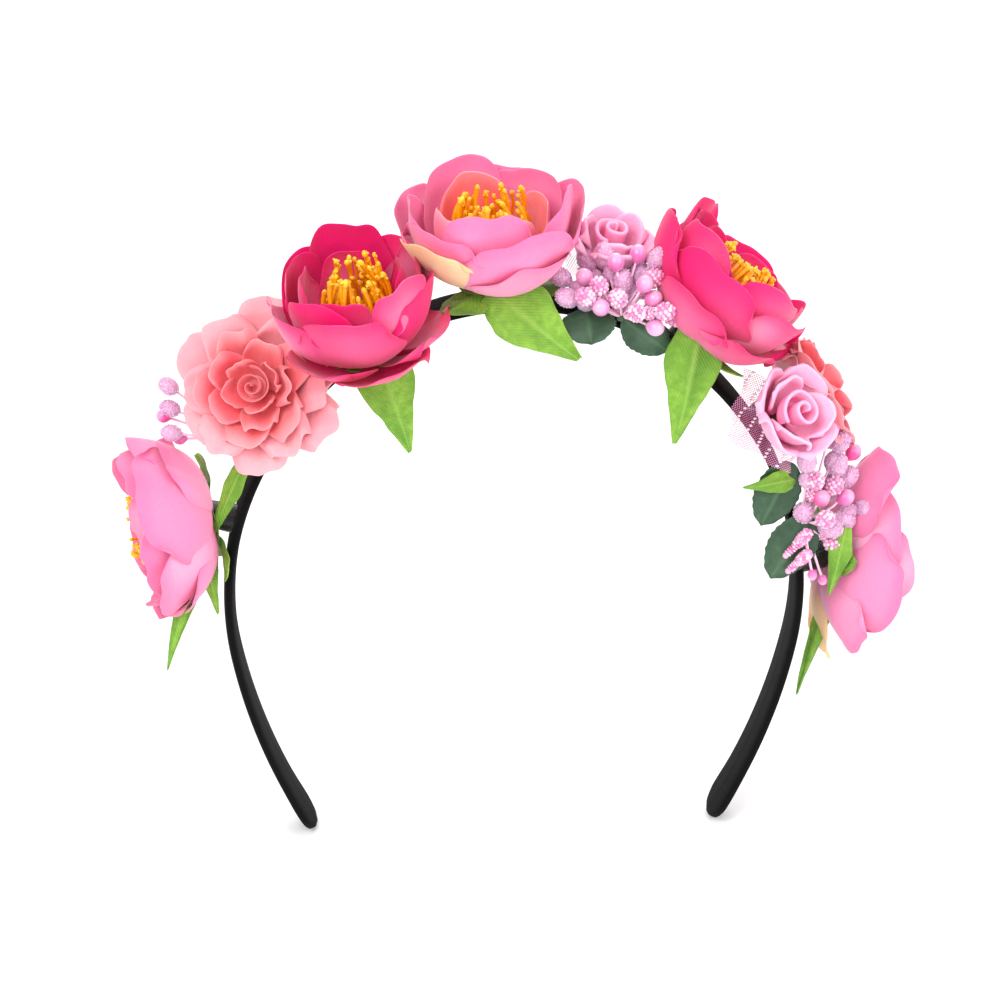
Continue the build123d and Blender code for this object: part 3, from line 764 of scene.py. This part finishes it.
def leaf(bm, root, tip, facing, width, arch, twist, rng, widest=0.4, fold=0.2, jag=0.05, teeth=0, fringe=0.0,
         pointed=False):
    """Adds a leaf of cloth from root to tip, in metres, bowed towards the way that it faces."""
    colours = bm.verts.layers.float_color["dye"]
    along = tip - root
    length = along.length
    along.normalize()
    facing = (facing - along * facing.dot(along)).normalized()
    grid = bmesh.ops.create_grid(bm, x_segments=LEAF_ACROSS, y_segments=LEAF_ALONG, size=1)["verts"]
    seed = Vector((rng.uniform(0, 50), rng.uniform(0, 50), 0))
    power = np.log(0.5) / np.log(widest)
    flat = {}
    for vert in grid:
        u, v = vert.co.x, (vert.co.y + 1) / 2
        turn = Matrix.Rotation(radians(twist) * v, 3, along)
        out, side = turn @ facing, turn @ facing.cross(along)
        half = width / 2 * (0.16 + 0.84 * sin(pi * v ** power) ** 0.75) * (1 - 0.95 * smooth(0.92, 1, v))
        if pointed:
            half = width / 2 * (0.6 + 0.4 * smooth(0, widest, v))
            half *= 1 - 0.93 * max(0, (v - widest) / (1 - widest))
        edge = smooth(0.6, 1, abs(u))
        half *= 1 + edge * jag * noise.noise(seed + Vector((v * 9, u, 0)))
        if teeth:
            half *= 1 + edge * 0.10 * (2 * abs((v * teeth) % 1 - 0.5) - 0.5)
        lift = arch * sin(pi * v * 0.85) - fold * half * (1 - (1 - abs(u)) ** 2)
        lift += 0.0007 * noise.noise(seed + Vector((u * 1.5, v * 3, 4)))
        reach = length * v + fringe * edge * noise.noise(seed + Vector((u * 6, 0, 9))) * v
        vert.co = root + along * reach + side * half * u + out * lift
        flat[vert] = (half * u / MM, length * v / MM)
        vert[colours] = (abs(u), v, 0.5 + 0.5 * noise.noise(seed + Vector((u, v * 2, 1))), 1)
    spread_out(bm, flat)


def leaf_cloth(name, low, high, vein, rib_scale, depth, **settings):
    """Ribbed leaf cloth: ribs run aslant over it, and a vein lies along its middle."""
    material, tree, shader = new_material(name, **settings)
    slant = add_node(tree, "Mapping", Rotation=(0, 0, radians(38)), Vector=cloth_uv_of(tree))
    shade = lay_cloth(tree, shader, ribbed, slant.outputs["Vector"], rib_scale, 0.5, depth)
    parts = tree.nodes.new("ShaderNodeAttribute")
    parts.attribute_name = "dye"
    split = add_node(tree, "SeparateXYZ", Vector=parts.outputs["Vector"])
    blotch = reckon(tree, "MULTIPLY", shade, split.outputs["Z"])
    stretch = add_node(tree, "MapRange", From_Max=0.45, Value=blotch)
    ground = shade_between(tree, stretch.outputs["Result"], low, high)
    middle = add_node(tree, "MapRange", From_Max=0.16, To_Min=0.55, To_Max=0.0, Value=split.outputs["X"])
    veined = shade_between(tree, middle.outputs["Result"], ground, vein)
    tree.links.new(veined, shader.inputs["Base Color"])
    return material


ribbed = cloth_group("ribbed_threads", ("X",))
sepal_green = leaf_cloth(
    "light_green_cloth", dye(72, 122, 28), dye(136, 180, 62), dye(152, 190, 84), 0.5, 0.0002,
    Roughness=0.6, Specular_IOR_Level=0.3, Sheen_Weight=0.1, Subsurface_Weight=0.15, Subsurface_Scale=0.0015,
    Subsurface_Radius=(0.5, 1.0, 0.2),
)
for bloom, blades in SHORT_SEPALS.items():
    seat = seats[bloom]
    rng = Random(PEONIES[bloom].seed + 200)
    bm = new_cloth()
    for turn, length, width in blades:
        out = Vector((cos(radians(turn)), sin(radians(turn)), 0))
        ends = [
            seat @ (out * reach + Vector((0, 0, height)))
            for reach, height in ((BLADE_ROOT, 0.9), (BLADE_ROOT + length, 1.6))
        ]
        face = (seat.to_3x3() @ Vector((0, 0, 1))).normalized()
        leaf(bm, *ends, face, width * MM, -0.001, 0, rng, fringe=0.0012)
    for root, end, width, arch, twist in LONG_SEPALS[bloom]:
        ends = [Vector(root) * MM, Vector(end) * MM]
        leaf(
            bm, *ends, Vector((0, -1, 0.25)), width * MM, arch * MM, twist, rng, 0.36,
            jag=0.12, fringe=0.0022, pointed=True,
        )
    colours = bm.verts.layers.float_color["dye"]
    disc = bmesh.ops.create_circle(bm, cap_ends=True, cap_tris=True, segments=32, radius=STAR_RADIUS)["verts"]
    flat = {vert: (vert.co.x, vert.co.y) for vert in disc}
    for vert in disc:
        wobble = 0.3 * sin(5 * atan2(vert.co.y, vert.co.x))
        vert[colours] = (0.6, 0.2, 0.5, 1)
        vert.co = seat @ Vector((vert.co.x, vert.co.y, 0.7 + wobble))
    spread_out(bm, flat)
    star = finish_cloth(f"{bloom}_sepals_cloth", bm, SEPAL_THICKNESS, sepal_green, sepal_green)
    attach(star, "sepal_cloth", f"{bloom}_sepals")


# Coral roses. Rings of rounded petals of the same satin, the outer ones ruffled and rolled back at their
# edges, round a heart of petals rolled tight. The layers are pushed onto a peg like the peonies'.
CORAL = Dyes(
    dye(255, 142, 150), dye(255, 166, 174), dye(255, 200, 206), dye(255, 176, 182), dye(255, 158, 168)
)
CORAL_DEEP = CORAL._replace(main=dye(255, 128, 134), pale=dye(255, 165, 170), lining=dye(252, 108, 118))
ROSE_RINGS = {
    "outer_petals": (
        Ring(6, 0, 1.3, 1.00, 0.50, 0.98, 40, 0.55, 2.6, 1.5),
        Ring(6, 30, 2.0, 0.84, 0.78, 0.86, 50, 0.5, 2.4, 1.3),
    ),
    "inner_petals": (
        Ring(5, 8, 2.8, 0.66, 0.92, 0.74, 62, 0.42, 1.9, 0.9),
        Ring(5, 44, 3.3, 0.48, 1.0, 0.62, 74, 0.34, 1.2, 0.5),
    ),
    "bud": (Ring(4, 0, 4.2, 0.32, 1.02, 0.5, 84, 0.24, 0.6, 0.3),),
}
# Broad petals that lie open under a rose: (turn, distance and height of the rim, width, bow)
BROAD_PETALS = {
    "left_rose": (),
    "right_rose": ((-70, 17.5, 8, 24, 60), (-25, 18.5, 8, 22, 60), (-112, 17, 9, 22, 60)),
}
HEART_TURNS = 2.2


def rolled_heart(bm, seat, turns, radius, foot, height, dyes):
    """Adds a strip rolled into a spiral, lower and wider towards its outer end, and a disc that closes it."""
    colours, lining = bm.verts.layers.float_color["dye"], bm.verts.layers.float_color["lining"]
    grid, flat = bmesh.ops.create_grid(bm, x_segments=72, y_segments=9, size=1)["verts"], {}
    for vert in grid:
        share, t = (vert.co.x + 1) / 2, (vert.co.y + 1) / 2
        angle = 2 * pi * turns * share
        r = 0.02 * radius + 0.98 * radius * share ** 0.8
        r += (0.18 * smooth(0.7, 1, t) * share + 0.12 * smooth(0.9, 1, share)) * radius
        r *= 0.55 + 0.45 * smooth(0, 0.5, t)
        z = foot + (height * (1.0 - 0.14 * share) - foot) * t + 0.06 * radius * sin(3 * angle) * share * t
        vert[colours] = vert[lining] = mixed(dyes.foot, dyes.main, smooth(0.3, 1, t))
        vert.co = seat @ Vector((r * cos(angle), r * sin(angle), z))
        flat[vert] = (share * pi * radius * turns, t * height)
    for vert in bmesh.ops.create_circle(bm, cap_ends=True, segments=20, radius=0.75 * radius)["verts"]:
        vert[colours] = vert[lining] = dyes.foot
        vert.co = seat @ Vector((vert.co.x, vert.co.y, foot + 0.3 * (height - foot)))
    spread_out(bm, flat)


for bloom, seed in (("left_rose", 31), ("right_rose", 37)):
    seat = seats[bloom] = seat_of(f"{bloom}_bud")
    radius, _ = reach_of(seat, f"{bloom}_outer_petals")
    _, height = reach_of(seat, f"{bloom}_inner_petals")
    rng = Random(seed)
    for layer, rings in ROSE_RINGS.items():
        bm = new_cloth()
        dyes = CORAL if layer == "outer_petals" else CORAL_DEEP
        for ring in rings:
            for i in range(ring.petals):
                turn = ring.turn + 360 / ring.petals * (i + rng.uniform(-0.12, 0.12))
                rim_out = ring.rim * radius * rng.uniform(0.92, 1.05)
                rim = (rim_out, ring.height * height * rng.uniform(0.94, 1.04))
                petal(
                    bm, seat, turn, (1.55, ring.foot + 0.2 * (i % 2)), rim, ring.width * radius, ring.bow,
                    ring.cup * radius, dyes, rng, ring.curl, ring.ruffle,
                )
        for turn, out, rim_height, width, bow in BROAD_PETALS[bloom] if layer == "outer_petals" else ():
            petal(
                bm, seat, turn, OPEN_PETAL_FOOT, (out, rim_height), width, bow, width * OPEN_PETAL_CUP, dyes,
                rng, 1.2, 0.9,
            )
        if layer == "bud":
            rolled_heart(bm, seat, HEART_TURNS, 0.2 * radius, STAMEN_FOOT, height, CORAL_DEEP)
        cloth = finish_cloth(f"{bloom}_{layer}_cloth", bm, PETAL_THICKNESS, petal_face, petal_back)
        attach(cloth, "coral_petal_cloth", f"{bloom}_{layer}")


# Foam roses. Small roses of soft pink foam sheet: one strip rolled into a spiral heart, and two rings of
# thick petals glued round it with their rims rolled out.
FOAM_PINK = Dyes(
    dye(240, 135, 178), dye(250, 172, 205), dye(255, 196, 220), dye(252, 186, 214), dye(250, 165, 200)
)
FOAM_THICKNESS = 0.0009
FOAM_RING = Ring(4, 0, 1.3, 1.0, 0.84, 1.8, 92, 0.84, 1.7, 0.3)
FOAM_MID_RING = Ring(3, 40, 2.4, 0.74, 0.94, 1.5, 92, 0.62, 1.2, 0.2)
SPIRAL_TURNS = 1.7
foam = dyed_material(
    "soft_pink_foam", "TexVoronoi", 4500, 0.00006,
    Roughness=0.5, Subsurface_Weight=0.3, Subsurface_Scale=0.003, Subsurface_Radius=(1.0, 0.5, 0.6),
)

for bloom, seed in (("top_foam_rose", 41), ("right_foam_rose", 43)):
    seat = seats[bloom] = seat_of(f"{bloom}_bud")
    radius, _ = reach_of(seat, f"{bloom}_petals")
    _, height = reach_of(seat, f"{bloom}_bud")
    rng = Random(seed)
    bm = new_cloth()
    for ring in (FOAM_RING, FOAM_MID_RING):
        for i in range(ring.petals):
            turn = ring.turn + 360 / ring.petals * (i + rng.uniform(-0.08, 0.08))
            rim = (ring.rim * radius, ring.height * height * rng.uniform(0.95, 1.02))
            petal(
                bm, seat, turn, (PETAL_FOOT, ring.foot + 0.5 * (i % 2)), rim, ring.width * radius, ring.bow,
                ring.cup * radius, FOAM_PINK, rng, ring.curl, ring.ruffle,
            )
    petals = finish_cloth(f"{bloom}_foam_petals", bm, FOAM_THICKNESS, foam, foam)
    attach(petals, "pink_foam", f"{bloom}_petals")
    bm = new_cloth()
    rolled_heart(bm, seat, SPIRAL_TURNS, 0.46 * radius, STAMEN_FOOT, height, FOAM_PINK)
    heart = finish_cloth(f"{bloom}_foam_bud", bm, FOAM_THICKNESS, foam, foam)
    attach(heart, "pink_foam", f"{bloom}_bud")


# Tulle. A square of mauve net with woven white dots is gathered under each foam rose, so that its
# corners stand out from under the petals.
TULLE_SIDE = 20.0
TULLE_STEPS = 48
MESH_PITCH = 0.5
HOLE_SHARE = 0.38
DOT_EVERY = 29
DOT_RADIUS = 0.00048


def net_group():
    """Node group of a net: 1 on its threads and 0 in its holes, from flat coordinates in meshes."""
    group, inside, outside = new_group(
        "net_threads", {"Vector": "Vector", "Hole": "Float"}, {"Thread": "Float"}
    )
    split = add_node(group, "SeparateXYZ", Vector=inside.outputs["Vector"])
    sides = []
    for axis in ("X", "Y"):
        ahead = reckon(group, "PINGPONG", split.outputs[axis], 0.5)
        sides.append(reckon(group, "GREATER_THAN", ahead, inside.outputs["Hole"]))
    group.links.new(reckon(group, "MAXIMUM", *sides), outside.inputs["Thread"])
    return group


tulle, tree, shader = new_material("mauve_tulle", Roughness=0.7)
flat_place = cloth_uv_of(tree)
mesh_scale = (1 / MESH_PITCH, 1 / MESH_PITCH, 1)
scaled = add_node(tree, "Mapping", Scale=mesh_scale, Rotation=(0, 0, radians(45)), Vector=flat_place)
net = tree.nodes.new("ShaderNodeGroup")
net.node_tree = net_group()
net.inputs["Hole"].default_value = HOLE_SHARE
shades = add_node(tree, "TexNoise", Scale=0.4, Vector=flat_place)
tree.links.new(scaled.outputs["Vector"], net.inputs["Vector"])
tree.links.new(net.outputs["Thread"], shader.inputs["Alpha"])
mauve = shade_between(tree, shades.outputs["Fac"], dye(176, 104, 144), dye(222, 160, 194))
tree.links.new(mauve, shader.inputs["Base Color"])
dot_thread, *_ = cloudy_material(
    "white_tulle_dots", 900, dye(236, 214, 228), dye(255, 250, 253), Roughness=0.6, Sheen_Weight=0.2
)

for bloom, turn, shift in (("top_foam_rose", 20, (0, 1)), ("right_foam_rose", 12, (-2.5, -1.5))):
    seat = seats[bloom]
    bm = new_cloth()
    spin = Matrix.Rotation(radians(turn), 4, "Z")
    flat = {}
    bmesh.ops.create_grid(bm, x_segments=TULLE_STEPS, y_segments=TULLE_STEPS, size=TULLE_SIDE / 2)
    for vert in bm.verts:
        flat[vert] = (vert.co.x, vert.co.y)
        out, angle = hypot(vert.co.x, vert.co.y), atan2(vert.co.y, vert.co.x)
        fold = 0.085 * out * sin(7 * angle + 0.5) + 0.05 * out * sin(3 * angle)
        lift = 0.55 + 0.02 * out ** 1.6 + fold * smooth(1, 6, out)
        place = (vert.co.x * 0.96 + shift[0], vert.co.y * 0.96 + shift[1], max(lift, 0.3))
        vert.co = seat @ (spin @ Vector(place))
    spread_out(bm, flat)
    bm.faces.ensure_lookup_table()
    dots = bmesh.new()
    for face in list(bm.faces)[::DOT_EVERY]:
        add_bead(dots, face.calc_center_median(), DOT_RADIUS, 6, 4, None, None, face.normal, 0.45)
    mesh = bpy.data.meshes.new(f"{bloom}_tulle_net")
    bm.to_mesh(mesh)
    bm.free()
    sheet = add_object(f"{bloom}_tulle_net", mesh, tulle)
    dotted = to_object(f"{bloom}_tulle_dots", dots, dot_thread)
    attach(sheet, "tulle_net", f"{bloom}_tulle")
    attach(dotted, "tulle_net")


# Berry sprays. Pearl drops, berries coated in seed beads, and sugared berries rolled in fine glass
# grains, each on a wrapped wire of its own, with a smaller one below most of the coated ones. The wires
# of a spray are bound in a knot on the band.
SPRAYS = {"top": (27, (-4, 7.6, 1.2)), "right": (88, (5, 7.6, 1.2)), "left": (-72, (0, 1, 1.2))}
WIRE_RADIUS = 0.00032
KNOT_RADIUS = 0.0011
SEED_BEADS = 46
SUGAR_GRAINS = 150
PEARL_DYES = (dye(232, 120, 182), dye(240, 150, 202), dye(226, 108, 176), dye(240, 66, 150))
BERRY_STRETCH = 1.32
SMALLER_BERRY = 0.72
SMALLER_BERRY_STEP = 1.9
ROD_RADIUS = 0.0016
ROD_ROWS = 11
ROD_BEADS = 8
pearl_coat = dyed_material(
    "pearl_coat", "TexNoise", 600, 0.00002, Roughness=0.26, Coat_Weight=0.5, Coat_Roughness=0.1,
    Sheen_Weight=0.3, Subsurface_Weight=0.15, Subsurface_Scale=0.001,
)
seed_coat = dyed_material(
    "seed_beads", "TexNoise", 1500, 0.00002, Roughness=0.32, Subsurface_Weight=0.25, Subsurface_Scale=0.0008
)
sugar_coat = dyed_material(
    "sugar_coat", "TexNoise", 5000, 0.0002, Roughness=0.35, Coat_Weight=0.3, Coat_Roughness=0.25
)
wire_wrap = dyed_material("wrapped_wire", "TexNoise", 3000, 0.00005, Roughness=0.5)
# The finish and the slot of each kind of berry
FINISHES = {
    "pearls": (pearl_coat, "pearl_coat"),
    "smooth_buds": (pearl_coat, "pearl_coat"),
    "seed_berries": (seed_coat, "seed_beads"),
    "sugared_berries": (sugar_coat, "sugar_coat"),
}


def spray_place(station, place):
    """Point of a spray, given in millimetres along the band, to its front and above its outer face."""
    along, front, height = place
    spot, heading = band_place(station * MM, front * MM)
    tangent, normal = Vector((cos(heading), 0, -sin(heading))), Vector((sin(heading), 0, cos(heading)))
    return spot + (tangent * along + normal * height) * MM


def centres(node):
    """Middle and radius of each ball of a CAD node."""
    boxes = [(part.min(0), part.max(0)) for part in solid_parts(node)]
    balls = [(Vector((low + high) / 2), float((high - low).max() / 2)) for low, high in boxes]
    return sorted(balls, key=lambda ball: tuple(ball[0]))


def on_a_ball(count, rng):
    """Directions spread evenly over a ball, a little shaken."""
    for i in range(count):
        z = 1 - (2 * i + 1) / count
        around = i * pi * (3 - sqrt(5)) + rng.uniform(-0.12, 0.12)
        yield Vector((sqrt(1 - z * z) * cos(around), sqrt(1 - z * z) * sin(around), z))


for side, (station, knot_place) in SPRAYS.items():
    rng = Random(60 + station)
    knot = spray_place(station, knot_place)
    wires = []
    kinds = ["pearls", "seed_berries", "sugared_berries"] if side != "left" else ["pearls", "sugared_berries"]
    if side == "right":
        kinds.append("smooth_buds")
    for kind in kinds:
        node = f"{side}_spray_{kind}"
        whole, _ = new_beads()
        balls = [(place, size, (place - knot).normalized(), True) for place, size in centres(node)]
        if side != "left" and kind in ("seed_berries", "sugared_berries"):
            balls += [
                (place - way * size * SMALLER_BERRY_STEP, size * SMALLER_BERRY, way, False)
                for place, size, way, _ in balls if (place - knot).length > 4 * size
            ]
        for place, size, along, wired in balls:
            bm, colours = new_beads()
            if kind in ("pearls", "smooth_buds"):
                tint = rng.choice(PEARL_DYES)
                # Each pearl is paler towards its outer end: a painted sheen over its own pink tint.
                for vert in add_bead(bm, place, size, 18, 14, None, None, along, 1.16):
                    out = (vert.co - place).dot(along) / size
                    if out < 0:
                        side_step = (vert.co - place) - along * (vert.co - place).dot(along)
                        vert.co -= side_step * 0.35 * out * out
                    vert[colours] = mixed(tint, dye(250, 205, 230), 0.5 * smooth(-0.2, 1.0, out))
            elif kind == "seed_berries":
                add_bead(bm, place, size * 0.82, 14, 10, colours, dye(220, 130, 180), along, 1.1)
                for way in on_a_ball(SEED_BEADS, rng):
                    tint = mixed(dye(250, 222, 236), dye(226, 130, 185), rng.random())
                    spot = place + way * size * 0.84 + along * 0.12 * size * way.dot(along)
                    add_bead(bm, spot, size * rng.uniform(0.2, 0.27), 8, 6, colours, tint)
            else:
                ground = mixed(dye(196, 116, 178), dye(228, 170, 214), rng.random())
                seed = Vector((rng.uniform(0, 90), 0, 0))
                body = bmesh.ops.create_icosphere(bm, subdivisions=4, radius=size * 0.86)["verts"]
                turn = along.to_track_quat("Z", "Y").to_matrix()
                for vert in body:
                    x, y, z = vert.co
                    lump = 1 + 0.10 * noise.noise(seed + vert.co * 1100)
                    lump += 0.07 * noise.noise(seed + vert.co * 2600)
                    paler = 0.4 + 0.4 * noise.noise(seed + vert.co * 3000)
                    vert[colours] = mixed(ground, dye(240, 205, 228), paler)
                    vert.co = place + turn @ Vector((x * lump, y * lump, z * lump * BERRY_STRETCH))
                for way in on_a_ball(SUGAR_GRAINS, rng):
                    spot = place + turn @ Vector((way.x, way.y, way.z * BERRY_STRETCH)) * size * 0.88
                    tint = mixed(ground, dye(250, 230, 244), rng.random())
                    add_bead(bm, spot, size * rng.uniform(0.05, 0.095), 5, 4, colours, tint)
            pour(bm, whole)
            if not wired:
                continue
            bend = (knot + place) / 2 + Vector((0, -1, 0)) * rng.uniform(0, 0.002)
            bend += along.orthogonal() * rng.uniform(-0.001, 0.001)
            wires.append(([knot, bend, place - along * size * 0.9], [WIRE_RADIUS] * 3))
        finish, slot = FINISHES[kind]
        attach(to_object(f"{node}_coated", whole, finish), slot, node)
    if side == "right":
        node = "right_spray_beaded_stamens"
        whole, _ = new_beads()
        for part in solid_parts(node):
            bm, colours = new_beads()
            middle = Vector(part.mean(0))
            axis = Vector(np.linalg.eigh(np.cov((part - part.mean(0)).T))[1][:, 2])
            reach = max(abs((Vector(corner) - middle).dot(axis)) for corner in part)
            axis = axis if axis.z < 0 else -axis
            size = ROD_RADIUS
            for step in range(ROD_ROWS):
                spot = middle + axis * (reach - size) * (2 * step / (ROD_ROWS - 1) - 1)
                slim = size * (0.62 + 0.38 * sin(pi * min(1, (step + 1) / 8)))
                add_bead(bm, spot, slim * 0.62, 8, 6, colours, dye(236, 150, 195))
                sidewise = axis.orthogonal().normalized()
                for i in range(ROD_BEADS):
                    way = Matrix.Rotation(2 * pi * (i + 0.5 * (step % 2)) / ROD_BEADS, 3, axis) @ sidewise
                    tint = mixed(dye(248, 212, 230), dye(232, 120, 180), rng.random())
                    add_bead(bm, spot + way * slim * 0.7, slim * rng.uniform(0.28, 0.36), 8, 6, colours, tint)
            add_bead(bm, middle + axis * (reach - size * 0.5), size * 0.5, 8, 6, colours, dye(244, 176, 210))
            pour(bm, whole)
            wires.append(([knot, (knot + middle) / 2, middle - axis * (reach - size)], [WIRE_RADIUS] * 3))
        attach(to_object(f"{node}_coated", whole, seed_coat), "seed_beads", node)
    bm = bmesh.new()
    bm.from_mesh(strands(wires))
    colours = bm.verts.layers.float_color.new("dye")
    for vert in bm.verts:
        vert[colours] = mixed(dye(250, 222, 236), dye(236, 170, 205), 0.5 + 0.5 * noise.noise(vert.co * 400))
    add_bead(bm, knot, KNOT_RADIUS, 14, 10, colours, dye(60, 84, 50))
    attach(to_object(f"{side}_spray_wires", bm, wire_wrap), "stem_wire", f"{side}_spray_stems")


# Rose leaves. Small dark leaves of waxed cloth with toothed edges lie in front of the band, glued under
# the sprays by their short stalks.
# Root and tip, each as (arc length, to the front, height off the outer face), width, and facing
ROSE_LEAVES = {
    "top_rose_leaves": (
        ((15, 7.2, 0.8), (17, 17, -4), 13, (0, -0.4, 1)),
        ((24, 7.2, 1), (37, 7.4, -1), 10, (0, -1, 0)),
    ),
    "right_rose_leaves": (
        ((78, 7.2, 3), (91, 7.8, -9), 11, (0, -1, 0)),
        ((92, 8.8, 3), (106, 9.4, -9), 12, (0, -1, 0)),
    ),
}
leaf_green = leaf_cloth(
    "dark_green_cloth", dye(28, 56, 40), dye(66, 98, 70), dye(84, 116, 84), 0.9, 0.00004,
    Roughness=0.5, Specular_IOR_Level=0.35, Coat_Weight=0.08, Coat_Roughness=0.4,
)
for node, leaves in ROSE_LEAVES.items():
    bm = new_cloth()
    rng = Random(71)
    for root, tip, width, facing in leaves:
        ends = [band_place(s * MM, front * MM, height * MM)[0] for s, front, height in (root, tip)]
        leaf(bm, *ends, Vector(facing), width * MM, 0.0012, 6, rng, widest=0.45, fold=0.12, jag=0.02, teeth=9)
    foliage = finish_cloth(f"{node}_cloth", bm, SEPAL_THICKNESS, leaf_green, leaf_green)
    attach(foliage, "rose_leaf_cloth", node)
